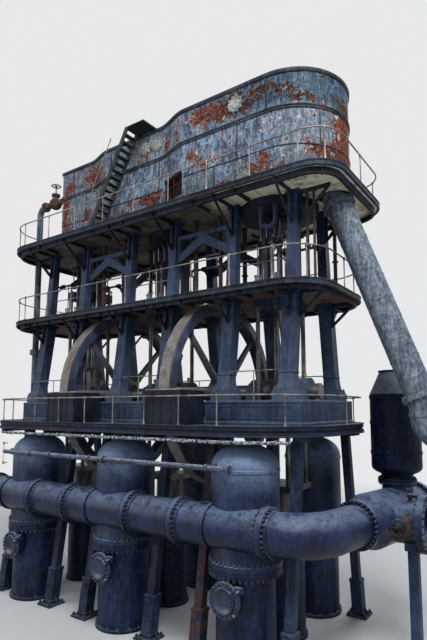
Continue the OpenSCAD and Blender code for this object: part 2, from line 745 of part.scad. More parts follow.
// Point on the leaning axis at a distance below the gallery
function on_lean(d) = [exhaust_x + d * sin(exhaust_lean), exhaust_z - d * cos(exhaust_lean)];
turn_start = on_lean(exhaust_run + exhaust_flange_t / 2);
turn_centre = [turn_start.x - exhaust_turn_r * cos(exhaust_lean),
               turn_start.y - exhaust_turn_r * sin(exhaust_lean)];
out_centre = [turn_centre.x + exhaust_turn_r + exhaust_out_r, turn_centre.y];
exhaust_end_x = out_centre.x + exhaust_flange_t / 2;
exhaust_end_z = out_centre.y - exhaust_out_r;

low_x0 = -pitch - 2800;
// The lower gallery's end stops short of the leaning exhaust pipe
low_x1 = exhaust_x + (exhaust_z - low_gallery_z - rail_h) * tan(exhaust_lean)
    - exhaust_r / cos(exhaust_lean);
low_r0 = 1500;
low_r1 = 1300;
high_x0 = -pitch - 2650;
high_x1 = pitch + 2780;
high_r0 = 1300;
high_r1 = 1000;

// Half length of the slot that a flywheel's top needs in the lower gallery
function wheel_chord(z) = sqrt(max(0, wheel_r * wheel_r - (z - axle_z) * (z - axle_z)));

module lower_gallery() {
    color("dimgray") difference() {
        translate([0, 0, low_gallery_z - gallery_t]) linear_extrude(gallery_t)
            polygon(rounded_plan(low_x0, low_x1, low_gallery_half_y, low_r0, low_r1));
        for (x = cyl_x) block(x, 0, 0, 2 * crosshead_half_x + 60, 2 * pump_rod_y + 360, reach);
        for (x = wheel_x) block(x, 0, 0, wheel_rim_w + 240, 2 * wheel_chord(low_gallery_z - gallery_t)
            + 240, reach);
        drum(steam_x, steam_y, 0, steam_r + 40, reach);
    }
}

module upper_gallery() {
    color("khaki") difference() {
        translate([0, 0, high_gallery_z - gallery_t]) linear_extrude(gallery_t)
            polygon(rounded_plan(high_x0, high_x1, high_gallery_half_y, high_r0, high_r1));
        drum(on_lean(-gallery_t / 2).x, 0, 0, exhaust_r / cos(exhaust_lean) + 60, reach);
        drum(steam_x, steam_y, 0, steam_r + 40, reach);
        for (i = [0:2]) drum(cyl_x[i], 0, 0, bottom_r[i] + gap, reach);
    }
}

// Open knee bracket in the plane of its arm: top bar, strut and foot, round the column's head flange
function knee_outline(edge, z, flange_at, face_top, face_low, drop) =
    let (z_flange = z - flange_t - 2 * gap)
    [[flange_at + gap, z], [edge, z], [edge, z - 90], [face_low + gap, z - drop],
     [face_top + gap, z_flange], [flange_at + gap, z_flange]];
function knee_hole(edge, z, face_top, face_low, drop) = let (top = z - flange_t - 60,
    slope = (drop - 90) / (edge - face_low), rise = 85 * sqrt(1 + slope * slope))
    [[face_top + 85, top], [edge - (z - 90 + rise - top) / slope, top],
     [face_low + 75, z - 90 + rise - slope * (edge - face_low - 75)]];
function mirrored(s, points) = [for (p = points) [s * p[0], p[1]]];
// Knees across the engine under a gallery's edges
module knees(edge, z, flange_y, face_top, face_low, drop) {
    for (x = cyl_x) for (dx = [-column_dx, column_dx]) for (s = [-1, 1]) difference() {
        plate_yz(x + dx - 20, 40, mirrored(s, knee_outline(edge, z, flange_y, face_top, face_low, drop)));
        plate_yz(x + dx - 60, 120, mirrored(s, knee_hole(edge, z, face_top, face_low, drop)));
    }
}
// Knees along the engine under a gallery's two ends
module end_knees(edge, z, y, flange_x, face_x, drop) {
    for (s = [-1, 1]) for (e = [-1, 1]) difference() {
        plate_xz(s * y - 20, 40, mirrored(e, knee_outline(edge, z, flange_x, face_x, face_x, drop)));
        plate_xz(s * y - 60, 120, mirrored(e, knee_hole(edge, z, face_x, face_x, drop)));
    }
}

module lower_gallery_brackets() {
    z = column_split_z - gap;
    drop = 800;
    end_x = pitch + column_dx + low_column_w / 2;
    color("slategray") union() {
        knees(low_gallery_half_y - 60, z, column_mid_y + low_column_w / 2 + 60,
            low_column_y(z - flange_t) + low_column_w / 2, low_column_y(z - drop) + low_column_w / 2, drop);
        end_knees(end_x + 800, z, column_mid_y, end_x + 60, end_x, drop);
    }
}

module upper_gallery_brackets() {
    z = column_top_z - gap;
    drop = 1050;
    end_x = pitch + column_dx + high_column_head_w / 2;
    function face(h) = high_column_y(h) + high_column_w(h) / 2;
    function end_face(h) = pitch + column_dx + high_column_w(h) / 2;
    color("slategray") union() {
        knees(high_gallery_half_y - 60, z, column_head_y + high_column_head_w / 2 + 60,
            face(z - flange_t), face(z - drop), drop);
        end_knees(end_x + 1000, z, column_head_y, end_x + 80, end_face(z - drop), drop);
    }
}
// Width of an upper column at a level
function high_column_w(z) = between(high_column_foot_w, high_column_head_w, low_gallery_z,
    column_top_z - gap, z);

module lower_gallery_rail() {
    color("silver") rail(low_x0, low_x1, low_gallery_half_y, low_r0, low_r1, low_gallery_z, rail_h, 1400);
}

module upper_gallery_rail() {
    color("silver") rail(high_x0, high_x1, high_gallery_half_y, high_r0, high_r1, high_gallery_z, rail_h,
        1450);
}

module arch_braces() {
    z1 = column_top_z - 560;
    z0 = z1 - 900;
    y = high_column_y((z0 + z1) / 2);
    // Reach of a brace from the flywheel's plane to the columns' sloping sides
    function half(z) = pitch / 2 - column_dx - gap - high_column_w(z) / 2;
    color("slategray") for (x = wheel_x) for (s = [-1, 1]) difference() {
        plate_xz(s * y - 60, 120, [[x - half(z1), z1], [x + half(z1), z1], [x + half(z0), z0],
            [x + half(z0) - 130, z0], [x, z1 - 420], [x - half(z0) + 130, z0], [x - half(z0), z0]]);
        for (e = [-1, 1]) plate_xz(s * y - 100, 200, [[x + e * 150, z1 - 140],
            [x + e * (half(z1) - 120), z1 - 140], [x + e * (half(z1) - 120), z1 - 640]]);
    }
}

// Radii of the high-pressure, intermediate and low-pressure cylinder bottoms
bottom_r = [620, 900, 1280];

module cylinder_bottoms() {
    color("slategray") for (i = [0:2]) difference() {
        union() {
            drum(cyl_x[i], 0, column_top_z - 260, bottom_r[i], 260 + gallery_t - gap);
            drum(cyl_x[i], 0, column_top_z - 420, 260, 200);
        }
        for (dx = [-column_dx, column_dx]) for (s = [-1, 1])
            block(cyl_x[i] + dx, s * column_head_y, 0, high_column_head_w + 180,
                  high_column_head_w + 140, column_top_z);
    }
}

// Looped drain pipe that hangs from the front of the low-pressure cylinder's bottom
module drain_bend() {
    r = 75;
    loop = 250;
    top = column_top_z - 260 - gap;
    z = top - 420;
    x = cyl_x[2] + 180;
    y = -bottom_r[2] + 190;
    color("slategray") union() {
        translate([x, y, z]) rotate([90, 0, 0]) rotate([0, 0, 180]) rotate_extrude(angle = 180, $fn = 64)
            translate([loop, 0]) circle(r = r, $fn = 48);
        for (e = [-1, 1]) {
            drum(x + e * loop, y, z - 15, r - 2, top - z + 15);
            drum(x + e * loop, y, top - 30, r + 40, 30);
        }
    }
}

// Half width of the casing along the shaft, with an S-curve between two widths
function ease(t) = t <= 0 ? 0 : t >= 1 ? 1 : t * t * (3 - 2 * t);
function casing_half(x) = narrow_half_y + (middle_half_y - narrow_half_y) * ease((x + pitch - 1150) / 1300)
    + (wide_half_y - middle_half_y) * ease((x - 550) / 1400);
casing_x0 = -pitch - 620;
casing_x1 = pitch + 500;
first_cut = -2050;
// Start height, height and share of the projection of the plinth, the middle band and the cornice
casing_bands = [[0, 160, 1], [0.64 * casing_h, 70, 1], [casing_h - 110, 110, 1.4]];
// Opening left by a lost lagging panel
hole_x = 790;
hole_w = 1070;
hole_h0 = 420;
hole_h = 850;
second_cut = 1950;

// Plan of the casing between two places, grown outwards by g
module casing_plan(x0, x1, g) {
    n = 24;
    side = [for (i = [0:n]) let (x = x0 + (x1 - x0) * i / n) [x, -casing_half(x) - g]];
    polygon(concat(side, [for (i = [n:-1:0]) [side[i][0], -side[i][1]]]));
}

// Casing body with a plinth, a band at mid height and a cornice at the top
module casing_piece(x0, x1, g0, g1) {
    z = high_gallery_z;
    translate([0, 0, z]) linear_extrude(casing_h) casing_plan(x0, x1, 0);
    for (b = casing_bands) translate([0, 0, z + b[0]]) linear_extrude(b[1])
        casing_plan(x0 - g0 * moulding_out, x1, b[2] * moulding_out);
}

module high_pressure_casing() {
    color("lightsteelblue") casing_piece(casing_x0, first_cut, 1, 0);
}

module intermediate_casing() {
    color("lightsteelblue") difference() {
        casing_piece(first_cut + gap, second_cut, 0, 0);
        translate([hole_x, -wide_half_y - 100, high_gallery_z + hole_h0])
            cube([hole_w, wide_half_y + 100 - middle_half_y + 350, hole_h]);
    }
}

module low_pressure_casing() {
    z = high_gallery_z;
    color("lightsteelblue") union() {
        casing_piece(second_cut + gap, casing_x1, 0, 0);
        drum(casing_x1, 0, z, wide_half_y, casing_h);
        for (b = casing_bands) drum(casing_x1, 0, z + b[0], wide_half_y + b[2] * moulding_out, b[1]);
    }
}

module stair() {
    z0 = high_gallery_z;
    z1 = casing_top_z;
    x0 = -2350;
    x1 = -500;
    y0 = -middle_half_y - 700;
    width = 560;
    n = 14;
    dx = 190;
    color("darkslategray") union() {
        for (y = [y0, y0 + width - 40]) plate_xz(y, 40,
            [[x0, z0], [x0 + dx, z0], [x1 + dx, z1], [x1, z1]]);
        for (i = [1:n]) translate([x0 + (x1 - x0) * i / (n + 1), y0 + 20, z0 + (z1 - z0) * i / (n + 1)])
            cube([dx, width - 40, 30]);
        translate([x1, y0, z1]) cube([900, width + 300, 40]);
    }
}

steam_x = -pitch - 2350;
steam_y = -940;
steam_drop = 650;

module steam_pipe() {
    z0 = deck_h - steam_drop;
    z1 = high_gallery_z + 1900;
    color("lightsteelblue") difference() {
        union() {
            steam_run(z0, z1);
            drum(steam_x, steam_y, z0, steam_r + 100, 50);
        }
        drum(steam_x, steam_y, z0 - 100, steam_r - 18, 400);
        for (i = [0:7]) let (a = 45 * (i + 0.5))
            drum(steam_x + (steam_r + 60) * cos(a), steam_y + (steam_r + 60) * sin(a), z0 - 50, 13, 150);
    }
}
// Steam pipe from its foot up to the high-pressure end of the casing
module steam_run(z0, z1) {
    union() {
        drum(steam_x, steam_y, z0, steam_r, z1 - z0);
        drum(steam_x, steam_y, deck_h + gap, steam_r + 110, 60);
        drum(steam_x, steam_y, deck_h + 2900, steam_r + 90, 160);
        translate([steam_x, steam_y, z1]) rotate([0, -90, 180]) arc_xz(90, 350, steam_r);
        bar_x(steam_x + 350 - 20, steam_y, z1 + 350, steam_r + 80, 50);
    }
}

// Throttle valve between the steam pipe and the casing, with a bonnet, a spindle and a hand wheel
module throttle_valve() {
    x0 = steam_x + 380 + gap;
    x1 = casing_x0 - moulding_out - gap;
    mid = (x0 + x1) / 2;
    z = high_gallery_z + 2250;
    bulb = 260;
    wheel_z = z + 800;
    color("slategray") union() {
        translate([x0, steam_y, z]) rotate([0, 90, 0]) rotate_extrude($fn = 64) polygon(concat(
            [[0, 0], [steam_r + 80, 0], [steam_r + 80, 50], [steam_r, 50], [steam_r, mid - x0 - 220]],
            [for (t = [-50:10:50]) [bulb * cos(t), mid - x0 + bulb * sin(t)]],
            [[steam_r, mid - x0 + 220], [steam_r, x1 - x0 - 60], [steam_r + 40, x1 - x0 - 60],
             [steam_r + 40, x1 - x0], [0, x1 - x0]]));
        drum(mid, steam_y, z, 120, 420);
        drum(mid, steam_y, z + 330, 180, 90);
        drum(mid, steam_y, z, 24, 840);
        translate([mid, steam_y, wheel_z]) rotate_extrude($fn = 64) translate([190, 0])
            circle(r = 20, $fn = 32);
        for (a = [0, 60, 120]) translate([mid, steam_y, wheel_z]) rotate([0, 90, a])
            translate([0, 0, -185]) cylinder(r = 12, h = 370, $fn = 32);
    }
}

// Part of a ring in the XZ plane around a centre, between two angles from +X
module ring_xz(centre, ring_r, r, from, to) {
    translate([centre.x, 0, centre.y]) rotate([90, 0, 0]) rotate([0, 0, from])
        rotate_extrude(angle = to - from, $fn = 128) translate([ring_r, 0]) circle(r = r, $fn = 64);
}
// Round piece on the leaning axis, between two distances below the gallery
module leaning(r, d0, d1) {
    translate([exhaust_x, 0, exhaust_z]) rotate([0, 180 - exhaust_lean, 0]) translate([0, 0, d0])
        cylinder(r = r, h = d1 - d0, $fn = 64);
}

module exhaust_neck() {
    joint = exhaust_neck - gap / 2;
    color("lightsteelblue") intersection() {
        union() {
            leaning(exhaust_r, -2 * exhaust_r, joint);
            leaning(exhaust_flange_r, joint - exhaust_flange_t, joint);
        }
        translate([0, -reach / 2, 0]) cube([reach, reach, high_gallery_z - gap]);
    }
}

module exhaust_pipe() {
    d0 = exhaust_neck + gap / 2;
    d1 = exhaust_run - gap / 2;
    color("lightsteelblue") union() {
        leaning(exhaust_r, d0, d1);
        leaning(exhaust_flange_r, d0, d0 + exhaust_flange_t);
        leaning(exhaust_flange_r, d1 - exhaust_flange_t, d1);
    }
}

module exhaust_bend() {
    d0 = exhaust_run + gap / 2;
    band = 80;
    flange_x = exhaust_end_x - exhaust_flange_t;
    color("lightsteelblue") difference() {
        union() {
            leaning(exhaust_flange_r, d0, d0 + exhaust_flange_t);
            ring_xz(turn_centre, exhaust_turn_r, exhaust_r, 1, exhaust_lean);
            drum(out_centre.x - exhaust_out_r, 0, out_centre.y - band / 2, exhaust_r + 25, band);
            ring_xz(out_centre, exhaust_out_r, exhaust_r, 182, 270);
            bar_x(flange_x, 0, exhaust_end_z, exhaust_flange_r, exhaust_flange_t);
        }
        bar_x(exhaust_end_x - 150, 0, exhaust_end_z, exhaust_r - 40, 300);
        bolt_ring_x(flange_x, 0, exhaust_end_z, exhaust_r + 55, 16, 16, exhaust_flange_t);
    }
}

pit_legs();
plunger_barrels();
plungers();
lower_chambers();
upper_chambers();
manhole_covers();
discharge_tees();
discharge_pipes();
discharge_end_cap();
discharge_bend();
vessel_tee();
tee_stand();
air_vessel();
equalizing_pipe();
deck_beams();
operating_deck();
deck_rail();
bedplates();
bearing_caps();
flywheel_guards();
crankshaft();
high_pressure_flywheel();
low_pressure_flywheel();
connecting_rods();
crossheads();
crosshead_guides();
piston_rods();
pump_rods();
lower_columns();
upper_columns();
lower_gallery();
lower_gallery_brackets();
lower_gallery_rail();
upper_gallery();
upper_gallery_brackets();
upper_gallery_rail();
arch_braces();
cylinder_bottoms();
drain_bend();
high_pressure_casing();
intermediate_casing();
low_pressure_casing();
stair();
steam_pipe();
throttle_valve();
exhaust_neck();
exhaust_pipe();
exhaust_bend();
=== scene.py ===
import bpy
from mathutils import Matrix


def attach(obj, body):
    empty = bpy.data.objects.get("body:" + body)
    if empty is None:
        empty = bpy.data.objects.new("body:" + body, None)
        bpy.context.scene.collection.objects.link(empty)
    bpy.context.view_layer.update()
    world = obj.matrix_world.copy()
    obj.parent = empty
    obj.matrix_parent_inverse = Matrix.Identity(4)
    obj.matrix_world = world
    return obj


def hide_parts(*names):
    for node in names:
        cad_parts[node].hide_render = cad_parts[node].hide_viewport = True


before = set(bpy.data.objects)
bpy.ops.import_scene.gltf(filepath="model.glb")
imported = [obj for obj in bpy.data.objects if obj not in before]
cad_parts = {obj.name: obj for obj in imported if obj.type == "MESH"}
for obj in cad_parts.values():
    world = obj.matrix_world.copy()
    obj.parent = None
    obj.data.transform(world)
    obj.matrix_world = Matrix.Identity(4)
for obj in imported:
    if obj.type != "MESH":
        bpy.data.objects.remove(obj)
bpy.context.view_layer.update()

import math

import bpy
import numpy as np

# Studio
# A plain pale floor under the pit feet and a soft room light, seen through a camera that stands
# at the front right corner, a little above the operating deck.

camera = bpy.data.objects.new("camera", bpy.data.cameras.new("camera"))
bpy.context.scene.collection.objects.link(camera)
camera.location = (11.707, -14.081, 6.672)
camera.rotation_euler = (math.radians(96.097), 0, math.radians(34.887))
camera.data.sensor_fit = "HORIZONTAL"
camera.data.sensor_width = 36
camera.data.lens = 41.957
camera.data.shift_y = 0.0826
camera.data.clip_end = 400
bpy.context.scene.camera = camera
bpy.context.scene.view_settings.view_transform = "Standard"


class Wire:
    """A node's output. Arithmetic on it adds the Math node for that operator."""

    def __init__(self, finish, socket):
        self.finish, self.socket = finish, socket

    def math(self, operation, *terms):
        return self.finish.node("ShaderNodeMath", {"operation": operation}, *terms)

    def __add__(self, other): return self.math("ADD", self, other)
    def __radd__(self, other): return self.math("ADD", other, self)
    def __sub__(self, other): return self.math("SUBTRACT", self, other)
    def __rsub__(self, other): return self.math("SUBTRACT", other, self)
    def __mul__(self, other): return self.math("MULTIPLY", self, other)
    def __rmul__(self, other): return self.math("MULTIPLY", other, self)
    def __truediv__(self, other): return self.math("DIVIDE", self, other)
    def __rtruediv__(self, other): return self.math("DIVIDE", other, self)
    def __pow__(self, other): return self.math("POWER", self, other)
    def abs(self): return self.math("ABSOLUTE", self)
    def fraction(self): return self.math("FRACT", self)
    def larger(self, other): return self.math("MAXIMUM", self, other)
    def smaller(self, other): return self.math("MINIMUM", self, other)


class Finish:
    """A material's node tree. node() adds any node: its settings come first, then its inputs."""

    def __init__(self, name):
        self.material = bpy.data.materials.new(name)
        self.material.use_nodes = True
        self.tree = self.material.node_tree
        self.shader = self.tree.nodes["Principled BSDF"]
        self.place = self.node("ShaderNodeTexCoord", out="Object")

    def node(self, kind, settings=None, *inputs, out=0, **named):
        made = self.tree.nodes.new(kind)
        for key, value in (settings or {}).items():
            setattr(made, key, value)
        for key, value in [*enumerate(inputs), *named.items()]:
            self.feed(made.inputs[key], value)
        return Wire(self, made.outputs[out])

    def feed(self, socket, value):
        if isinstance(value, Wire):
            self.tree.links.new(value.socket, socket)
        elif isinstance(value, tuple) and len(value) == 3 and len(socket.default_value) == 4:
            socket.default_value = (*value, 1)
        else:
            socket.default_value = value

    def shade(self, **values):
        """Sets or links the shader's own sockets, by their names with underscores for spaces."""
        for key, value in values.items():
            self.feed(self.shader.inputs[key.replace("_", " ")], value)
        return self.material

    def noise(self, scale, detail=4, rough=0.55, stretch=(1, 1, 1), warp=0.0):
        """Noise on the piece's metres, squeezed along each axis by stretch. Runs from 0 to 1."""
        place = self.node("ShaderNodeMapping", None, self.place, Scale=stretch)
        return self.node("ShaderNodeTexNoise", None, place, Scale=scale, Detail=detail,
                         Roughness=rough, Distortion=warp)

    def cells(self, scale):
        """Distance to the nearest point of a scatter."""
        return self.node("ShaderNodeTexVoronoi", None, self.place, Scale=scale)

    def step(self, value, low, high):
        """0 below low, 1 above high and smooth in between, or the other way round if low > high."""
        ends = (low, high, 0.0, 1.0) if low < high else (high, low, 1.0, 0.0)
        return self.node("ShaderNodeMapRange", {"interpolation_type": "SMOOTHSTEP"}, value, *ends)

    def mix(self, factor, a, b):
        """Colour a where the factor is 0, colour b where it is 1."""
        made = self.tree.nodes.new("ShaderNodeMix")
        made.data_type = "RGBA"
        for socket, value in ((made.inputs[0], factor), (made.inputs[6], a), (made.inputs[7], b)):
            self.feed(socket, value)
        return Wire(self, made.outputs[2])

    def tone(self, colour, value):
        """A colour made lighter or darker by a value around 1."""
        grey = self.node("ShaderNodeCombineXYZ", None, value, value, value)
        return self.node("ShaderNodeVectorMath", {"operation": "MULTIPLY"}, colour, grey)

    def bump(self, height, distance, strength=1.0):
        return self.node("ShaderNodeBump", None, Height=height, Distance=distance, Strength=strength)

    def facing_up(self):
        """The surface normal's height component, 1 on a floor and -1 on a ceiling."""
        normal = self.node("ShaderNodeNewGeometry", out="Normal")
        return self.node("ShaderNodeSeparateXYZ", None, normal, out="Z")

    def axis(self, name):
        """One of the piece's coordinates in metres."""
        return self.node("ShaderNodeSeparateXYZ", None, self.place, out=name)


backdrop = (0.80, 0.81, 0.82)
world = bpy.data.worlds.new("room")
bpy.context.scene.world = world
world.use_nodes = True
world_nodes, world_links = world.node_tree.nodes, world.node_tree.links
room_light = world_nodes["Background"]
room_light.inputs["Color"].default_value = (0.86, 0.93, 1.0, 1)
room_light.inputs["Strength"].default_value = 0.42
seen_room = world_nodes.new("ShaderNodeBackground")
seen_room.inputs["Color"].default_value = (*backdrop, 1)
ray = world_nodes.new("ShaderNodeLightPath")
seen = world_nodes.new("ShaderNodeMath")
seen.operation = "MAXIMUM"
either = world_nodes.new("ShaderNodeMath")
either.operation = "MAXIMUM"
world_links.new(ray.outputs["Is Camera Ray"], seen.inputs[0])
world_links.new(ray.outputs["Is Glossy Ray"], seen.inputs[1])
world_links.new(seen.outputs[0], either.inputs[0])
world_links.new(ray.outputs["Is Transmission Ray"], either.inputs[1])
room_mix = world_nodes.new("ShaderNodeMixShader")
world_links.new(either.outputs[0], room_mix.inputs[0])
world_links.new(room_light.outputs[0], room_mix.inputs[1])
world_links.new(seen_room.outputs[0], room_mix.inputs[2])
world_links.new(room_mix.outputs[0], world_nodes["World Output"].inputs["Surface"])

for name, place, aim, size, power in (
        ("skylight", (15, -12, 26), (1, 0, 9), 10, 5600),
        ("front_fill", (-14, -20, 14), (0, 0, 7), 14, 1300),
        ("rear_fill", (6, 22, 20), (0, 0, 8), 14, 1700)):
    lamp = bpy.data.objects.new(name, bpy.data.lights.new(name, "AREA"))
    bpy.context.scene.collection.objects.link(lamp)
    lamp.data.size, lamp.data.energy = size, power
    lamp.location = place
    aimed = np.array(aim, float) - np.array(place, float)
    lamp.rotation_euler = (math.atan2(np.hypot(aimed[0], aimed[1]), -aimed[2]), 0,
                           math.atan2(-aimed[0], aimed[1]))


def sheet_faces(rows, columns, close_rows=False, close_columns=False):
    """Quads of a grid of points, numbered row by row; a closed direction joins its end to its start."""
    r = np.arange(rows if close_rows else rows - 1)[:, None]
    c = np.arange(columns if close_columns else columns - 1)[None, :]
    r1, c1 = (r + 1) % rows, (c + 1) % columns
    corners = (r * columns + c, r * columns + c1, r1 * columns + c1, r1 * columns + c)
    return np.stack([np.broadcast_to(k, (r.size, c.size)) for k in corners], -1).reshape(-1, 4)


def build(name, shape, finish, crease=35, body="root"):
    """A mesh object at the origin from points and quads. A quad whose last two corners are the same
    is a triangle. Edges that turn by more than the crease, in degrees, stay sharp."""
    points, faces = shape
    mesh = bpy.data.meshes.new(name)
    used = np.ones(faces.shape, bool)
    used[:, 3] = faces[:, 2] != faces[:, 3]
    corners = faces[used].astype(np.int32)
    starts = np.concatenate([[0], np.cumsum(used.sum(1))[:-1]]).astype(np.int32)
    mesh.vertices.add(len(points))
    mesh.vertices.foreach_set("co", np.asarray(points, np.float32).ravel())
    mesh.loops.add(len(corners))
    mesh.loops.foreach_set("vertex_index", corners)
    mesh.polygons.add(len(faces))
    mesh.polygons.foreach_set("loop_start", starts)
    mesh.update(calc_edges=True)
    mesh.validate()
    mesh.polygons.foreach_set("use_smooth", np.ones(len(mesh.polygons), bool))
    mesh.set_sharp_from_angle(angle=math.radians(crease))
    mesh.materials.append(finish)
    made = bpy.data.objects.new(name, mesh)
    bpy.context.scene.collection.objects.link(made)
    if body:
        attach(made, body)
    return made


floor_finish = Finish("studio_floor")
away = floor_finish.node("ShaderNodeVectorMath", {"operation": "LENGTH"}, floor_finish.place, out="Value")
far = floor_finish.step(away, 13, 34)
camera_ray = floor_finish.node("ShaderNodeLightPath", out="Is Camera Ray")
glow = floor_finish.node("ShaderNodeEmission", None, backdrop, 1.0)
surface = Wire(floor_finish, floor_finish.shader.outputs[0])
shown = floor_finish.node("ShaderNodeMixShader", None, far * camera_ray, surface, glow)
floor_finish.tree.links.new(shown.socket,
                            floor_finish.tree.nodes["Material Output"].inputs["Surface"])
floor_finish.shade(Base_Color=(0.62, 0.63, 0.64), Roughness=0.9)

# The floor is a disc: rings of points whose radius grows outwards in steps
turn = np.linspace(0, 2 * np.pi, 64, endpoint=False)
ring = np.array([150, 60, 30, 20, 12, 6, 0.01])[:, None]
floor_points = np.stack([ring * np.cos(turn), ring * np.sin(turn), 0 * ring - 0.002 + 0 * turn], -1)
floor = build("studio_floor", (floor_points.reshape(-1, 3), sheet_faces(7, 64, close_columns=True)),
              floor_finish.material, body=None)


def dress(finish, *nodes):
    """Gives a finish to nodes that keep their own shape."""
    for node in nodes:
        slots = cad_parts[node].data.materials
        slots.clear()
        slots.append(finish)


# Pit legs
# Twelve cast-iron box legs that stand on bolted feet on the pit floor and lean inwards up to the
# bedplates. Dusty slate-blue oil paint over red primer, worn through to rust at the boots.

cylinders = np.array([-4.5, 0.0, 4.5])
both = (-1, 1)


def aged_paint(name, light, dark, rust=0.15, dust=0.35, grain=1.0, rough=0.62, dust_tint=(0.17, 0.20, 0.24),
               rust_tint=(0.16, 0.065, 0.035), pebble=0.0, extra_rust=None, streak=0.4, flakes=0.0,
               dust_from=0.25, extra_dust=None, shine=0.22, mottle=1.0, painted_underside_shade=0.0):
    """Old oil paint on a casting: two tones in soft patches, mottled and chipped, with runs of dirt,
    rust where it is worn through, dust on what faces up, painted shade on what faces down, and the pebbled
    skin of the casting."""
    f = Finish(name)
    patch = f.noise(1.1 * grain, 6, 0.62, warp=0.4)
    runs = f.noise(2.4 * grain, 6, 0.65, (5, 5, 0.35))
    blotch = f.noise(5.5 * grain, 8, 0.74, warp=0.3)
    fine = f.noise(24 * grain, 5, 0.7)
    tone = f.step(patch * (1 - streak) + runs * streak, 0.40, 0.60)
    colour = f.mix(tone, dark, light)
    colour = f.tone(colour, 0.83 + ((f.step(blotch, 0.36, 0.64) - 0.5) * 0.85 + (fine - 0.5) * 0.9) * mottle)
    worn_at = f.noise(3.1 * grain, 9, 0.72) + (runs - 0.5) * 0.35
    if extra_rust:
        worn_at = worn_at + extra_rust(f) * 0.3
    worn = f.step(worn_at, 0.75 - rust, 0.78 - rust)
    rusty = f.mix(f.step(fine, 0.35, 0.65), tuple(c * 0.35 for c in rust_tint), rust_tint)
    colour = f.mix(worn * 0.85, colour, rusty)
    up = f.step(f.facing_up(), dust_from, 0.95)
    dusty = up * dust * (0.15 + f.step(f.noise(4 * grain, 8, 0.7), 0.34, 0.62) * 1.1)
    if extra_dust:
        dusty = dusty.larger(extra_dust(f) * f.step(blotch, 0.2, 0.55))
    colour = f.mix(dusty.smaller(0.92), colour, f.tone(dust_tint, 0.7 + fine * 0.6))
    # Painted shade: what faces down is made darker by the given amount.
    if painted_underside_shade:
        colour = f.tone(colour, 1 - painted_underside_shade * f.step(f.facing_up(), 0.15, -0.85))
    skin = f.noise(60 * grain, 3) * 0.5 + patch * 2.0 + worn * -0.6
    if pebble:
        stone = f.cells(22.0)
        skin = skin + f.step(stone, 0.6, 0.1) * pebble
        colour = f.tone(colour, 1.18 - f.step(stone, 0.25, 0.65) * 0.36)
    if flakes:
        flake = f.step(f.noise(7 * grain, 8, 0.75), 0.62 - 0.2 * flakes, 0.645 - 0.2 * flakes)
        colour = f.mix(flake * 0.85, colour, (0.58, 0.63, 0.69))
        skin = skin + flake * 0.5
    return f.shade(Base_Color=colour, Roughness=(rough + worn * 0.25 + dusty * 0.2).smaller(1.0),
                   Normal=f.bump(skin, 0.006, 0.7), Specular_IOR_Level=shine)


def leg_rust(f):
    """1 on the front left leg under the low-pressure cylinder, which has lost most of its paint."""
    beside = f.step((f.axis("X") - 3.12).abs(), 0.34, 0.28)
    return beside * f.step(f.axis("Y"), -1.4, -1.5) * 0.42


def foot_dust(f):
    """Dust that lies on the columns' flared feet and the bedplates' top edges."""
    return f.step(f.axis("Z"), 8.1, 7.0) * f.step(f.axis("Z"), 6.7, 6.9) * 0.42


frame_paint = aged_paint("slate_blue_paint", (0.038, 0.069, 0.140), (0.011, 0.021, 0.050), rust=0.13,
                         dust=0.8, dust_tint=(0.115, 0.150, 0.21), extra_dust=foot_dust, streak=0.5,
                         mottle=0.5, shine=0.3)
leg_paint = aged_paint("pit_leg_paint", (0.028, 0.050, 0.104), (0.007, 0.014, 0.032), rust=0.15, dust=0.7,
                       mottle=0.7, dust_tint=(0.11, 0.13, 0.17), extra_rust=leg_rust,
                       rust_tint=(0.115, 0.060, 0.042))
dress(leg_paint, "pit_legs", "deck_beams")


def square_to(along):
    """Two unit vectors beside a direction, or beside each of many; the three are right-handed."""
    along = np.atleast_2d(np.asarray(along, float))
    along = along / np.linalg.norm(along, axis=1, keepdims=True)
    helper = np.where(np.abs(along[:, 2:]) < 0.9, [[0.0, 0, 1]], [[1.0, 0, 0]])
    side = np.cross(helper, along)
    side /= np.linalg.norm(side, axis=1, keepdims=True)
    return side, np.cross(along, side), along


def skin(rings, closed=False):
    """Faces between rings of points that each turn right-handed about the way to the next one. The
    last ring joins the first, or a fan about its middle closes each end."""
    rows, columns = rings.shape[:2]
    points, faces = rings.reshape(-1, 3), sheet_faces(rows, columns, closed, True)
    if closed:
        return points, faces
    first = np.arange(columns)
    after, last = (first + 1) % columns, (rows - 1) * columns
    start = 0 * first + len(points)
    fans = (np.stack([after, first, start, start], -1),
            np.stack([last + first, last + after, start + 1, start + 1], -1))
    middles = np.stack([rings[0].mean(0), rings[-1].mean(0)])
    return np.concatenate([points, middles]), np.concatenate([faces, *fans])


def combine(*shapes):
    """One shape from several: each one's faces are numbered after the points before it."""
    before = np.cumsum([0] + [len(points) for points, faces in shapes[:-1]])
    return (np.concatenate([points for points, faces in shapes]),
            np.concatenate([faces + n for (points, faces), n in zip(shapes, before)]))


def turned(profile, centre=(0, 0, 0), along=(0, 0, 1), sides=48, closed=False):
    """A turned shape: the profile's point (radius r, height h) becomes the ring of points
    centre + h along + r (cos t side + sin t up)."""
    side, up, along = (v[0] for v in square_to(along))
    t = np.linspace(0, 2 * np.pi, sides, endpoint=False)[:, None]
    r, h = np.asarray(profile, float).T[..., None, None]
    return skin(np.asarray(centre, float) + h * along + r * (np.cos(t) * side + np.sin(t) * up), closed)


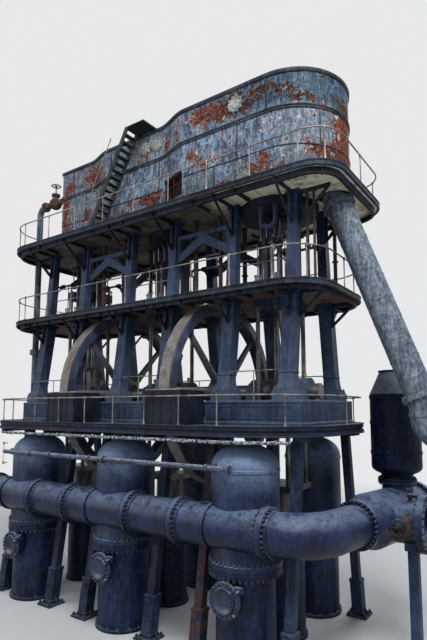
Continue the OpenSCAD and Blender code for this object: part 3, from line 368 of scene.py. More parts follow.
def repeat(shape, places, normals=(0, 0, 1), size=1.0):
    """Copies of a shape that stands on XY, each at a place with its Z along the normal there."""
    points, faces = shape
    places = np.atleast_2d(np.asarray(places, float))
    side, up, along = square_to(np.broadcast_to(normals, places.shape))
    x, y, z = (points[None, :, k:k + 1] * size for k in range(3))
    moved = places[:, None] + x * side[:, None] + y * up[:, None] + z * along[:, None]
    numbers = np.arange(len(places))[:, None, None] * len(points)
    return moved.reshape(-1, 3), (faces[None] + numbers).reshape(-1, 4)


def round_places(count, radius, centre, along, start=0.5):
    """Places spaced evenly on a circle about a direction."""
    side, up, along = (v[0] for v in square_to(along))
    t = (np.arange(count)[:, None] + start) * 2 * np.pi / count
    return np.asarray(centre, float) + radius * (np.cos(t) * side + np.sin(t) * up)


def grid(*axes):
    """Every combination of values along the axes, as rows of points."""
    return np.stack(np.meshgrid(*axes, indexing="ij"), -1).reshape(-1, len(axes))


# A nut on its washer with the stud's end above it, and a rivet's head, both 1 wide
nut = turned([(0.64, 0), (0.64, 0.1), (0.5, 0.14), (0.5, 0.78), (0.27, 0.82), (0.27, 1.1)], sides=6)
rivet = turned([(0.5, 0), (0.42, 0.24), (0.16, 0.4)], sides=6)


def bars(starts, ends, width, depth, up=(0, 0, 1), edge=0.12):
    """Straight bars of rectangular section with chamfered corners: eight points round each of four
    rings, the end rings drawn in by the chamfer. Depth lies along up, width across it."""
    starts, ends = np.atleast_2d(np.asarray(starts, float)), np.atleast_2d(np.asarray(ends, float))
    length = np.linalg.norm(ends - starts, axis=1)[:, None, None, None]
    along = ((ends - starts)[:, None, None] / length)
    side = np.cross(np.broadcast_to(up, starts.shape)[:, None, None], along)
    side = side / np.linalg.norm(side, axis=-1, keepdims=True)
    raised = np.cross(along, side)
    width, depth = (np.broadcast_to(v, len(starts)).reshape(-1, 1, 1, 1) for v in (width, depth))
    cut = edge * np.minimum(width, depth)
    corner_x = np.array([1, 1, 1, -1, -1, -1, -1, 1])[None, None, :, None]
    corner_y = np.array([-1, 1, 1, 1, 1, -1, -1, -1])[None, None, :, None]
    cut_x = np.array([0, 0, 1, 1, 0, 0, 1, 1])[None, None, :, None]
    shrink = np.array([1, 0, 0, 1])[None, :, None, None] * cut
    x = corner_x * (width / 2 - cut * cut_x - shrink)
    y = corner_y * (depth / 2 - cut * (1 - cut_x) - shrink)
    at = np.array([0.0, 0, 1, 1])[None, :, None, None] * length + np.array([0, 1.0, -1, 0])[
        None, :, None, None] * cut
    points = starts[:, None, None] + along * at + side * x + raised * y
    one = skin(points[0])
    middles = points[:, [0, -1]].mean(2)
    all_points = np.concatenate([points.reshape(len(starts), -1, 3), middles], 1)
    numbers = np.arange(len(starts))[:, None, None] * len(one[0])
    return all_points.reshape(-1, 3), (one[1][None] + numbers).reshape(-1, 4)


leg_x = (cylinders[:, None] + [-1.38, 1.38]).ravel()
leg_foot_y, leg_top_y, pit_depth = 2.58, 1.70, 6.1


def leg_y(z):
    """How far a pit leg stands from the shaft line: it leans inwards evenly from foot to top."""
    return leg_foot_y - (leg_foot_y - leg_top_y) * z / pit_depth


def square_collar(x, y, z, half, high, out):
    """A moulded band round a square post, with rounded corners: a ring of its plan at each of the
    heights of a half-round profile."""
    t = np.linspace(0, 2 * np.pi, 32, endpoint=False)
    plan = np.stack([np.cos(t), np.sin(t)], -1)
    plan = plan / np.abs(plan).max(1, keepdims=True) ** 0.94
    s = np.linspace(-1, 1, 7)
    grown = half + out * np.sqrt(np.clip(1 - s ** 2, 0, 1))
    rings = np.concatenate([plan[None] * grown[:, None, None],
                            np.broadcast_to(s[:, None, None] * high / 2, (7, 32, 1))], -1)
    return skin(rings + [x, y, z])


anchor_at = np.array([-0.255, 0.255])
anchor_nuts = repeat(nut, np.concatenate([
    np.c_[grid(x + anchor_at, s * leg_foot_y + anchor_at), np.full(4, 0.06)]
    for x in leg_x for s in both]), size=0.085)
leg_collars = combine(*[square_collar(x, s * leg_y(z), z, half, high, out) for x in leg_x for s in both
                        for z, half, high, out in ((0.12, 0.175, 0.10, 0.028), (1.14, 0.172, 0.12, 0.022),
                                                   (5.98, 0.125, 0.12, 0.03))])
# Tapered ribs between boot and foot, and the lifting lug on each boot's outer face
foot_ribs = bars(*[[(x + e * out, s * leg_foot_y, z) for x in leg_x for s in both for e in both]
                   for out, z in ((0.17, 0.24), (0.30, 0.075))], 0.04, 0.07)
lugs = bars(*[[(x + e * 0.07, s * (leg_y(1.0) + 0.19), 1.0) for x in leg_x for s in both] for e in both],
            0.05, 0.16)
build("pit_leg_fittings", combine(anchor_nuts, leg_collars, foot_ribs, lugs), leg_paint)

# Plunger barrels
# Smooth cast barrels between the chambers, with a bolted gland ring at the top round each bright
# plunger.

def bare_steel(name, colour, rough, oil=(0.10, 0.075, 0.05)):
    """Turned steel with brown oil in patches, fine marks of the lathe and a few dull spots."""
    f = Finish(name)
    marks = f.noise(30, 3, 0.5, (1, 1, 12))
    film = f.noise(3.2, 8, 0.7, (1, 1, 0.5))
    shade = f.mix(f.step(film, 0.36, 0.66), colour, oil)
    shade = f.tone(shade, 0.65 + marks * 0.7)
    return f.shade(Base_Color=shade, Metallic=0.80 - f.step(film, 0.40, 0.7) * 0.4,
                   Roughness=rough + film * 0.35, Normal=f.bump(marks, 0.0006, 0.5))


steel = bare_steel("bright_steel", (0.20, 0.205, 0.22), 0.26, (0.045, 0.034, 0.026))
dress(steel, "crankshaft", "connecting_rods", "piston_rods", "pump_rods", "plungers")


def foot_dirt(f):
    """1 at the pit floor, fading out a metre above it."""
    return f.step(f.axis("Z"), 1.1, 0.15) * 0.26


pump_paint = aged_paint("navy_paint", (0.013, 0.027, 0.080), (0.003, 0.007, 0.025), rust=0.10, dust=0.9,
                        rough=0.46, dust_tint=(0.10, 0.13, 0.19), rust_tint=(0.075, 0.042, 0.030),
                        extra_rust=foot_dirt, streak=0.5, dust_from=0.4)
dress(pump_paint, "plunger_barrels", "lower_chambers", "manhole_covers")
gland_nuts = repeat(nut, np.concatenate([round_places(20, 0.68, (x, 0, 2.72), (0, 0, 1)) for x in cylinders]),
                    size=0.06)
build("gland_nuts", gland_nuts, pump_paint)

# Pump chambers
# Cast-iron chambers in two halves, with a ring of close bolts through the joint, a domed head with
# a bead at its seam, and a dished manhole lid at the side. Navy paint, gray with dust on the domes.

chamber_y, manhole_z = 2.24, 1.9
boss_dx, boss_z = 0.3, 5.12
chamber_at = [(x, s * chamber_y) for x in cylinders for s in both]
ellipse = np.linspace(0, 0.49 * np.pi, 14)
dome_profile = [(0.96, 2.56), (0.99, 2.575), (0.99, 2.695), (0.975, 2.71), (0.945, 2.715), (0.93, 2.74),
                (0.93, 4.99), (0.955, 5.0), (0.955, 5.07), (0.93, 5.085)]
dome_profile += [(0.93 * np.cos(t), 5.11 + 0.63 * np.sin(t)) for t in ellipse]
dome_profile += [(0.14, 5.735), (0.14, 5.758), (0.05, 5.76)]
domes = combine(*[turned(dome_profile, (x, y, 0), sides=96) for x, y in chamber_at],
                *[turned([(0.115, 0), (0.115, 0.36), (0.1, 0.385)], (x - boss_dx, -2.80, boss_z),
                         (0, -1, 0), 32)
                  for x in cylinders])


def dome_dust(f):
    """Dust that thickens from the main's height up to the crown of a chamber."""
    return f.step(f.axis("Z"), 4.3, 5.55) * 0.85


dome_paint = aged_paint("dusty_navy_paint", (0.026, 0.047, 0.112), (0.009, 0.018, 0.050), rust=0.08, dust=1.1,
                        rough=0.40, dust_tint=(0.205, 0.285, 0.430), extra_dust=dome_dust, streak=0.35,
                        mottle=0.6)
upper_shells = build("upper_chamber_shells", domes, dome_paint)
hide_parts("upper_chambers")

joint_nuts = combine(*[repeat(nut, round_places(40, 0.950, (x, y, z), (0, 0, 1)), (0, 0, up), 0.082)
                       for x, y in chamber_at for z, up in ((2.70, 1), (2.41, -1))],
                     *[repeat(nut, round_places(16, 0.83, (x, y, 0.09), (0, 0, 1)), size=0.06)
                       for x, y in chamber_at])
joint_paint = aged_paint("joint_nut_paint", (0.070, 0.090, 0.135), (0.020, 0.028, 0.048), rust=0.12, dust=1.0,
                         dust_tint=(0.22, 0.26, 0.34), shine=0.4)
build("chamber_nuts", joint_nuts, joint_paint)

# A lid: bolted ring, dished middle, and a hinge lug with two knobs at its right
lid_profile = [(0.45, 0), (0.45, 0.07), (0.44, 0.08), (0.335, 0.08), (0.33, 0.10), (0.315, 0.13),
               (0.29, 0.135), (0.275, 0.125), (0.25, 0.095), (0.20, 0.066), (0.13, 0.050), (0.06, 0.044),
               (0.02, 0.043)]
lid_paint = aged_paint("lid_paint", (0.020, 0.036, 0.090), (0.004, 0.009, 0.028), rust=0.08, dust=0.9,
                       rough=0.24, shine=0.55, dust_tint=(0.16, 0.20, 0.28), mottle=0.6)
lids, lid_nuts, lid_lugs = [], [], []
for x in cylinders:
    for s in both:
        face = (x, s * 3.2305, manhole_z)
        lids.append(turned(lid_profile, face, (0, s, 0), 64))
        lid_nuts.append(repeat(nut, round_places(20, 0.39, (x, s * 3.31, manhole_z), (0, s, 0)),
                               (0, s, 0), 0.055))
        side_x = x + 0.30
        lid_lugs.append(bars([(side_x, s * 3.26, 2.22)], [(side_x + 0.22, s * 3.26, 2.22)], 0.10, 0.16))
        lid_lugs.append(turned([(0.05, 0), (0.05, 0.13), (0.035, 0.15)], (side_x + 0.14, s * 3.28, 2.20),
                               (0, s, 0), 20))
        lid_lugs.append(turned([(0.045, 0), (0.045, 0.10), (0.03, 0.12)], (x + 0.33, s * 3.28, 1.62),
                               (0, s, 0), 20))
lid_piece = build("manhole_lids", combine(*lids, *lid_nuts, *lid_lugs), lid_paint)
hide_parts("manhole_covers")

# Discharge main
# Flanged cast-iron main along the front that turns to the rear past the last leg. Its thick navy
# paint has gone pebbly and dusty on top, its underside is darkened with painted shade, and close bolts ring
# every joint.

def tee_rust(f):
    """1 round the drain valve on the side of the outlet branch."""
    away = ((f.axis("X") - 7.95) ** 2 + (f.axis("Y") + 0.17) ** 2 + (f.axis("Z") - 3.5) ** 2) ** 0.5
    return f.step(away, 0.55, 0.2) * 0.8


# The main's underside is darkened with painted shade.
main_paint = aged_paint("pipe_gray_paint", (0.014, 0.032, 0.108), (0.003, 0.008, 0.034), rust=0.10, dust=1.05,
                        dust_tint=(0.112, 0.155, 0.245), pebble=0.8, rough=0.34, shine=0.32, dust_from=0.2,
                        mottle=0.7, painted_underside_shade=0.6, extra_rust=tee_rust, rust_tint=(0.13, 0.065, 0.045))
dress(main_paint, "discharge_tees", "discharge_pipes", "discharge_end_cap", "discharge_bend",
      "vessel_tee")
dress(frame_paint, "tee_stand")
main_y, main_z = -2.9, 3.59
nut_dark = aged_paint("nut_paint", (0.022, 0.028, 0.044), (0.006, 0.008, 0.014), rust=0.16, dust=0.6)


def joint_ring(centre, along, radius, count, half_joint, size=0.080):
    """Nuts on both faces of a pair of flanges."""
    along = np.asarray(along, float)
    return combine(*[repeat(nut, round_places(count, radius, centre + e * half_joint * along, along),
                            e * along, size) for e in both])


joints = np.concatenate([cylinders - 1.67, cylinders + 1.07])
turn_angle = math.radians(80)
bend_x0 = 4.5 + 1.07
run = np.array([math.cos(turn_angle), math.sin(turn_angle), 0.0])
bend_r, bend_tail = 1.3, 1.1
bend_end = np.array([bend_x0 + bend_r * math.sin(turn_angle) + bend_tail * run[0],
                     main_y + bend_r * (1 - math.cos(turn_angle)) + bend_tail * run[1], main_z])
main_nuts = combine(*[joint_ring(np.array([x, main_y, main_z]), (1, 0, 0), 0.60, 30, 0.076) for x in joints],
                    joint_ring(bend_end, run, 0.60, 30, 0.076))
build("main_nuts", main_nuts, nut_dark)

# Rounded fillets where each flange meets the pipe, and a half-round bead beside it
bead = [(0.545, -0.06), (0.575, -0.045), (0.585, 0), (0.575, 0.045), (0.545, 0.06), (0.52, 0)]
bead_at = [x + e * 0.16 for x in joints for e in both if abs(x + e * 0.16) < 6.3]
fillet = [(0.54, 0.0), (0.66, 0.0), (0.655, 0.015), (0.60, 0.02), (0.562, 0.05), (0.548, 0.09), (0.54, 0.09)]
fillets = [turned([(r, e * h) for r, h in (fillet if e > 0 else fillet[::-1])],
                  (x + e * 0.074, main_y, main_z),
                  (1, 0, 0), 72, closed=True) for x in joints for e in both]
beads = [turned(bead, (x, main_y, main_z), (1, 0, 0), 72, closed=True) for x in bead_at]
# Gusset fins on the tees' bands and on top of the tees
fin_x = cylinders - 0.60
fins = bars(np.c_[fin_x, np.full(3, main_y - 0.10), np.full(3, main_z + 0.54)],
            np.c_[fin_x - 0.34, np.full(3, main_y - 0.10), np.full(3, main_z + 0.54)], 0.04, 0.14)
build("main_mouldings", combine(*fillets, *beads, fins), main_paint)

# Equalizing pipe
# A thin screwed pipe in front of the chambers with couplings, ending in a gauge with two brass
# cocks and guard rods. Its dark blue paint peels in pale flakes.

peeling_paint = aged_paint("peeling_paint", (0.052, 0.078, 0.135), (0.014, 0.022, 0.044), rust=0.13, dust=0.9,
                           dust_tint=(0.24, 0.28, 0.35), grain=2.2, rough=0.40, flakes=0.18, shine=0.4)
dress(peeling_paint, "equalizing_pipe")
brass = bare_steel("brass", (0.55, 0.38, 0.16), 0.28, (0.16, 0.10, 0.05))
coupling_x = [-3.6, -2.5, -0.55, 0.08, 3.95, 4.63]
coupling_nuts = combine(*[repeat(nut, round_places(8, 0.092, (x + 0.025 + e * 0.025, -3.315, boss_z),
                                                   (1, 0, 0)), (e, 0, 0), 0.028)
                          for x in coupling_x for e in both])
boss_nuts = combine(*[repeat(nut, round_places(8, 0.093, (x - boss_dx, -3.2153, boss_z), (0, 1, 0)),
                             (0, -1, 0), 0.028)
                      for x in cylinders])
build("equalizing_nuts", combine(coupling_nuts, boss_nuts), nut_dark)
cock = [(0.02, -0.05), (0.034, -0.04), (0.034, -0.02), (0.024, -0.015), (0.03, 0), (0.024, 0.015),
        (0.034, 0.02), (0.034, 0.04), (0.02, 0.05)]
gauge_x, gauge_y, gauge_ends = -5.0, -3.33, (4.72, 5.42)
gauge_cocks = combine(*[turned(cock, (gauge_x, gauge_y - 0.09, z)) for z in gauge_ends],
                      *[turned([(0.016, 0), (0.016, 0.16)], (gauge_x, gauge_y + 0.06, z), (0, -1, 0), 16)
                        for z in gauge_ends])
guards = bars(*[[(gauge_x + e * 0.03, gauge_y - 0.09, z) for e in both] for z in gauge_ends],
              0.008, 0.008, (0, 1, 0))
build("gauge_fittings", combine(gauge_cocks, guards), brass)

# Air vessel
# Riveted plate vessel over the tee, navy with a gray cone top under a cap ring, and a small hand
# wheel and valve on the tee below it.


def cone_dust(f):
    """1 on the vessel's conical shoulder."""
    return f.step(f.axis("Z"), 7.09, 7.13) * f.step(f.axis("Z"), 7.80, 7.77) * 0.9


vessel_paint = aged_paint("vessel_paint", (0.005, 0.013, 0.042), (0.0015, 0.005, 0.017), rust=0.07, dust=0.6,
                          rough=0.5, shine=0.15, dust_tint=(0.125, 0.155, 0.20), extra_dust=cone_dust,
                          dust_from=0.7)
dress(vessel_paint, "air_vessel")
seam_z = (5.35, 6.25, 7.02)
vessel = bend_end + 2.5 * run
vessel_bands = [turned([(0.72, -0.05), (0.742, -0.05), (0.742, 0.05), (0.72, 0.05)],
                       (vessel[0], vessel[1], z), sides=72, closed=True) for z in seam_z]
vessel_rivets = [repeat(rivet, p, p - [vessel[0], vessel[1], z + dz], 0.03) for z in seam_z
                 for dz in (-0.025, 0.025)
                 for p in (round_places(60, 0.741, (vessel[0], vessel[1], z + dz), (0, 0, 1), dz * 10),)]
foot_nuts = [joint_ring(np.array([vessel[0], vessel[1], 4.51]), (0, 0, 1), 0.505, 16, 0.07, 0.055)]
cap_ring = [turned([(0.40, 7.79), (0.45, 7.79), (0.46, 7.81), (0.45, 7.835), (0.40, 7.835)],
                   (vessel[0], vessel[1], 0), sides=64, closed=True)]
build("vessel_rings", combine(*vessel_bands, *vessel_rivets, *foot_nuts, *cap_ring), vessel_paint)
tee_end = bend_end + 3.38 * run
tee_nuts = combine(joint_ring(tee_end, run, 0.805, 36, 0.082, 0.07),
                   joint_ring(np.array([8.591 - 0.09, 0.390, main_z]), (1, 0, 0), 0.72, 24, 0.092, 0.06))
build("tee_nuts", tee_nuts, nut_dark)


def pipe(path, radius, sides=14, keep=(0, 0, 1), closed=False):
    """Round pipe along a path: each ring lies square to the way the path runs there, on one axis
    across both that way and a kept direction."""
    path = np.asarray(path, float)
    if closed:
        way = np.roll(path, -1, 0) - np.roll(path, 1, 0)
    else:
        way = np.gradient(path, axis=0)
    way /= np.linalg.norm(way, axis=1, keepdims=True)
    side = np.cross(keep, way)
    side /= np.linalg.norm(side, axis=1, keepdims=True)
    up = np.cross(way, side)
    t = np.linspace(0, 2 * np.pi, sides, endpoint=False)[None, :, None]
    r = np.broadcast_to(radius, len(path))[:, None, None]
    return skin(path[:, None] + r * (np.cos(t) * side[:, None] + np.sin(t) * up[:, None]), closed)


def hand_wheel(centre, along, radius, spokes=5, rim=0.012):
    """A hand wheel: a closed round rim, straight spokes and a domed hub."""
    side, up, along = (v[0] for v in square_to(along))
    centre = np.asarray(centre, float)
    circle = round_places(32, radius, centre, along)
    arms = round_places(spokes, radius, centre, along, 0.2)
    return combine(pipe(circle, rim, 8, along, closed=True),
                   *[pipe([centre, centre + 0.5 * (arm - centre), arm], rim * 0.7, 6, along) for arm in arms],
                   turned([(rim * 2.4, -rim * 2), (rim * 2.4, rim), (rim, rim * 2.5)], centre, along, 12))


# The drain valve on the branch's front side, and a small air valve on its top
drain_at, drain_out = np.array([7.95, -0.16, 3.56]), np.array([0.0, -1, 0])
small_valves = [turned([(0.20, -0.06), (0.20, 0.03), (0.19, 0.045), (0.11, 0.05), (0.10, 0.10), (0.07, 0.12),
                        (0.035, 0.14), (0.02, 0.15), (0.018, 0.22)], drain_at, drain_out, 32),
                repeat(nut, round_places(8, 0.155, drain_at + 0.045 * drain_out, drain_out), drain_out, 0.04),
                hand_wheel(drain_at + 0.20 * drain_out, drain_out, 0.175, 5, 0.015)]
top_at = np.array([8.15, 0.39, 4.14])
small_valves += [turned([(0.09, -0.05), (0.09, 0.03), (0.05, 0.04), (0.05, 0.10), (0.085, 0.12),
                         (0.085, 0.20), (0.05, 0.22), (0.03, 0.24), (0.012, 0.25),
                         (0.012, 0.34)], top_at, sides=24),
                 pipe(top_at + [(0.0, 0, 0.16), (0.1, 0, 0.16), (0.2, 0, 0.16)], 0.045, 16),
                 hand_wheel(top_at + [0, 0, 0.33], (0, 0, 1), 0.10, 4, 0.010)]
build("tee_valves", combine(*small_valves), nut_dark)

# Operating deck
# Iron deck level with the bedplates' feet: chequered plates on top, a moulded rim with a bead
# along its top edge, and a peeling drain pipe hung below the rim.


def rounded_plan(x0, x1, half, r0, r1, back=0.0, spacing=0.12):
    """Anticlockwise plan of a platform with round corners, one radius at each end, set back from
    its edge by a distance."""
    x0, x1, half, r0, r1 = x0 + back, x1 - back, half - back, r0 - back, r1 - back
    corners = ((x0 + r0, r0 - half, r0, 180), (x1 - r1, r1 - half, r1, 270), (x1 - r1, half - r1, r1, 0),
               (x0 + r0, half - r0, r0, 90))
    arcs = []
    for x, y, r, start in corners:
        t = np.radians(np.linspace(start, start + 90, max(6, int(r * 1.57 / spacing))))
        arcs.append(np.c_[x + r * np.cos(t), y + r * np.sin(t)])
    pieces = []
    for arc, after in zip(arcs, arcs[1:] + arcs[:1]):
        gap = np.linalg.norm(after[0] - arc[-1])
        n = max(2, int(gap / spacing))
        share = np.linspace(0, 1, n + 1)[1:-1, None]
        pieces += [arc, arc[-1] + share * (after[0] - arc[-1])] if gap > 0.01 else [arc[:-1]]
    return np.concatenate(pieces)


def moulding(plan, profile):
    """Profile carried round a closed anticlockwise plan: the profile's point (out, height) lies out
    along the plan's outward normal at each point. The profile turns anticlockwise."""
    way = np.roll(plan, -1, 0) - np.roll(plan, 1, 0)
    way /= np.linalg.norm(way, axis=1, keepdims=True)
    out, high = np.asarray(profile[::-1], float).T
    flat = plan[:, None] + out[None, :, None] * np.c_[way[:, 1], -way[:, 0]][:, None]
    rings = np.concatenate([flat, np.broadcast_to(high[None, :, None], (*flat.shape[:2], 1))], -1)
    return skin(rings, closed=True)


deck_z = 6.2
deck_plan = dict(x0=-7.2, x1=6.645, half=3.3, r0=2.4, r1=2.4)


def chequer(f, size=16.0):
    """Raised lozenges of a chequered plate, 1 on a lozenge and 0 between them."""
    x, y = f.axis("X") * size, f.axis("Y") * size
    a = ((x + y).fraction() - 0.5).abs()
    b = ((x - y).fraction() - 0.5).abs()
    return f.step(a.larger(b * 0.55), 0.30, 0.22)


def plate_paint(name, top, edge, below, rust_below=0.2, below_dark=None, cream_and_painted_light=None, panel=(1.15, 0.62)):
    """Platform of three finishes: trodden chequered plate on top, blue-gray edges, and an underside of
    panels with thin dark seams and rusty runs, some of them in a pale cream paint made bright as painted
    light from below."""
    f = Finish(name)
    up = f.facing_up()
    fine = f.noise(20, 5, 0.65)
    patch = f.noise(1.4, 7, 0.66, warp=0.3)
    lozenge = chequer(f)
    tread = f.mix(f.step(patch, 0.4, 0.65), tuple(c * 0.55 for c in top), top)
    tread = f.mix(lozenge * f.step(fine, 0.3, 0.7) * 0.6, tread, (0.24, 0.24, 0.25))
    side = f.mix(f.step(f.noise(2.5, 6), 0.38, 0.64), tuple(c * 0.4 for c in edge), edge)
    rust_mark = f.step(f.noise(2.6, 9, 0.72, warp=0.6), 0.66 - rust_below, 0.74 - rust_below)
    under = f.mix(f.step(patch, 0.35, 0.65), below_dark or tuple(c * 0.45 for c in below), below)
    # Painted light: the cream ceiling paint is made far brighter than paint, for lamplight falling on it from
    # below over the low-pressure end.
    if cream_and_painted_light:
        under = f.mix(f.step(f.axis("X"), 2.2, 4.0), under,
                      f.tone(cream_and_painted_light, 0.72 + f.step(patch, 0.3, 0.6) * 0.28))
    under = f.mix(rust_mark * 0.7, under, f.mix(fine, (0.05, 0.025, 0.015), (0.19, 0.09, 0.045)))
    across, along = (f.axis("X") / panel[0]).fraction(), (f.axis("Y").abs() / panel[1]).fraction()
    seam = f.step(across, 0.028, 0.012).larger(f.step(along, 0.035, 0.015))
    under = f.mix(seam * 0.85, under, (0.012, 0.011, 0.010))
    colour = f.mix(f.step(up, 0.3, 0.7), side, tread)
    colour = f.mix(f.step(up, -0.3, -0.7), colour, under)
    colour = f.tone(colour, 0.7 + fine * 0.6)
    raised = lozenge * f.step(up, 0.3, 0.7) * 1.2 + fine * 0.5 - seam * f.step(up, -0.3, -0.7)
    return f.shade(Base_Color=colour, Roughness=0.55 + fine * 0.3, Normal=f.bump(raised, 0.004, 0.8),
                   Specular_IOR_Level=0.25)


deck_finish = plate_paint("deck_plate", (0.060, 0.064, 0.072), (0.009, 0.016, 0.040), (0.014, 0.019, 0.030))
dress(deck_finish, "operating_deck")
rim_paint = aged_paint("rim_paint", (0.012, 0.021, 0.050), (0.003, 0.006, 0.015), rust=0.10, dust=0.55,
                       dust_tint=(0.10, 0.12, 0.16))
drain_finish = aged_paint("drain_pipe_paint", (0.045, 0.060, 0.090), (0.012, 0.016, 0.028), rust=0.12,
                          dust=0.3, grain=2.4, flakes=0.6)
deck_edge = rounded_plan(**deck_plan)
top_bead = [(-0.05, 6.19), (-0.02, 6.185), (0.012, 6.188), (0.022, 6.203), (0.012, 6.218), (-0.02, 6.222),
            (-0.05, 6.215)]
low_bead = [(-0.06, 5.925), (0.015, 5.925), (0.024, 5.945), (0.015, 5.965), (0.006, 5.97), (0.006, 6.02),
            (-0.03, 6.03), (-0.06, 6.03)]
build("deck_rim_beads", combine(moulding(deck_edge, top_bead), moulding(deck_edge, low_bead)), rim_paint)
drain_plan = rounded_plan(**deck_plan, back=0.02)
drain_front = drain_plan[(drain_plan[:, 1] < -2.4) & (drain_plan[:, 0] > -5.6)]
drain_front = drain_front[np.argsort(drain_front[:, 0])]
drain_path = np.c_[drain_front, np.full(len(drain_front), 5.80)]
hangers = drain_path[4::9]
drain_pipe = combine(pipe(drain_path, 0.045, 16),
                     *[turned([(0.044, -0.06), (0.06, -0.055), (0.06, 0.055), (0.044, 0.06)], p,
                              np.gradient(drain_path, axis=0)[i], 20)
                       for i, p in enumerate(drain_path) if i % 22 == 6])
build("drain_pipe", drain_pipe, drain_finish)
build("drain_hangers", combine(bars(hangers + [0, 0, 0.03], hangers + [0, 0, 0.16], 0.012, 0.05, (0, 1, 0)),
                               *[turned([(0.045, -0.02), (0.055, -0.02), (0.055, 0.02), (0.045, 0.02)], p,
                                        (1, 0, 0), 20, closed=True) for p in hangers]),
      rim_paint)

# Handrails
# One round top bar of worn steel on turned posts, which swell at the foot and end in a ball joint
# under the bar. The same rail runs round the deck and both galleries.

rail_finish = bare_steel("rail_metal", (0.30, 0.285, 0.27), 0.38, (0.085, 0.055, 0.042))


def handrail(name, plan, z, height, step, node):
    """Top bar along the plan set back by 66 mm, with posts along the sides and at the ends."""
    axis = 0.066
    x0, x1, half, r0, r1 = (plan[key] for key in ("x0", "x1", "half", "r0", "r1"))
    path = rounded_plan(**plan, back=axis)
    a0, a1 = x0 + r0, x1 - r1
    n = round((a1 - a0) / step)
    posts = [(a0 + (a1 - a0) * i / n, s * (half - axis)) for i in range(n + 1) for s in both]
    for s in both:
        posts.append((a0 - (r0 - axis) * math.sqrt(0.5), s * (half - r0 + (r0 - axis) * math.sqrt(0.5))))
        posts.append((a1 + (r1 - axis) * math.sqrt(0.5), s * (half - r1 + (r1 - axis) * math.sqrt(0.5))))
    posts += [(x0 + axis, 0), (x1 - axis, 0)]
    top = height - 0.026
    post = [(0.055, 0), (0.055, 0.018), (0.034, 0.03), (0.026, 0.07), (0.019, 0.12), (0.018, top * 0.55),
            (0.02, top - 0.10), (0.022, top - 0.06), (0.034, top - 0.035), (0.040, top), (0.034, top + 0.03),
            (0.014, top + 0.042)]
    bar = pipe(np.c_[path, np.full(len(path), z + top)], 0.022, 12, closed=True)
    made = build(name, combine(bar, repeat(turned(post, sides=14), [(x, y, z) for x, y in posts])),
                 rail_finish)
    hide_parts(node)


handrail("deck_handrail", deck_plan, deck_z, 0.85, 1.35, "deck_rail")

# Bedplates
# Three cast box beds that carry the main bearings and the columns, with a moulded foot, a lip at
# the top and nuts that hold down the bearing caps.

dress(frame_paint, "bedplates", "bearing_caps")


def square_plan(x, y, half_x, half_y, corner=0.04):
    """Anticlockwise rectangle with rounded corners about a point."""
    return rounded_plan(x - half_x, x + half_x, half_y, corner, corner, spacing=0.4) + [0, y]


foot_mould = [(-0.02, deck_z), (0.045, deck_z), (0.045, 6.26), (0.02, 6.29), (0.008, 6.33), (-0.02, 6.33)]
lip = [(-0.03, 6.80), (0.01, 6.81), (0.028, 6.83), (0.03, 6.89), (0.018, 6.905), (-0.03, 6.905)]
bed_parts = [moulding(square_plan(x, 0, 1.545, 1.95), profile)
             for x in cylinders for profile in (foot_mould, lip)]
cap_studs = repeat(nut, [(x + dx + ex, s * 0.44, 7.35) for x in cylinders for dx in (-0.8, 0.8)
                         for ex in (-0.11, 0.11) for s in both], size=0.10)
oil_cup = [(0.03, 0), (0.03, 0.05), (0.055, 0.06), (0.055, 0.15), (0.06, 0.155), (0.02, 0.185)]
oil_cups = repeat(turned(oil_cup, sides=20), [(x + dx, 0, 7.585) for x in cylinders for dx in (-0.8, 0.8)])
bed_nuts = repeat(nut, [(x + sx * 1.47, sy * (1.2 * k), 6.9) for x in cylinders for sx in both for sy in both
                        for k in (0.25, 0.6)], size=0.07)
panels = []
for x in cylinders:
    for s in both:
        for middle in (x - 0.95, x, x + 0.95):
            low_left, high_left, low_right, high_right = (
                (middle + e * 0.40, s * 1.955, z) for e in both for z in (6.38, 6.74))
            panels.append(bars([low_left, high_left], [low_right, high_right], 0.02, 0.035))
            panels.append(bars([low_left, low_right], [high_left, high_right], 0.035, 0.02, (0, 1, 0)))
build("bedplate_mouldings", combine(*bed_parts, *panels, cap_studs, bed_nuts), frame_paint)
build("oil_cups", oil_cups, brass)

# Flywheel guards
# Plate fences round the wheel pits, stiffened by flat bars with rivets, under a round top rail.

guard_paint = aged_paint("guard_paint", (0.010, 0.017, 0.038), (0.003, 0.005, 0.012), rust=0.12, dust=0.7,
                         dust_tint=(0.13, 0.14, 0.17))
dress(guard_paint, "flywheel_guards")
guard_half, guard_y, guard_top = 0.69, 3.14, 7.2
wheel_x = (-2.25, 2.25)
guard_bits, guard_rails = [], []
for x in wheel_x:
    for s in both:
        corner = [(x - guard_half + 0.015, s * (guard_y - 0.10)),
                  (x - guard_half + 0.04, s * (guard_y - 0.04)),
                  (x - guard_half + 0.10, s * guard_y)]
        way = [(x - guard_half + 0.015, s * 2.02), *corner,
               *[(2 * x - cx, cy) for cx, cy in corner[::-1]], (x + guard_half - 0.015, s * 2.02)]
        guard_rails.append(pipe([(*p, guard_top + 0.015) for p in way], 0.024, 10))
        posts = np.array([-0.66, -0.33, 0.0, 0.33, 0.66])
        face_y = s * (guard_y + 0.02)
        guard_bits.append(bars(*[[(x + p, face_y, z) for p in posts]
                                 for z in (deck_z + 0.01, guard_top - 0.01)],
                               0.05, 0.012, (0, 1, 0)))
        guard_bits.append(repeat(rivet, [(x + p, face_y + s * 0.006, z) for p in posts
                                         for z in np.linspace(6.28, 7.12, 8)], (0, s, 0), 0.022))
        guard_bits.append(bars([(x - 0.67, face_y, 6.24)], [(x + 0.67, face_y, 6.24)], 0.012, 0.06))
build("guard_stiffeners", combine(*guard_bits), guard_paint)
build("guard_rails", combine(*guard_rails), rail_finish)

# Flywheels
# Two cast wheels of eight oval spokes. The rim is turned bright and has gone brown-gray, the sides
# and the spokes keep their dark blue paint, and bolted lugs join the rim's segments.

axle_z = 7.2


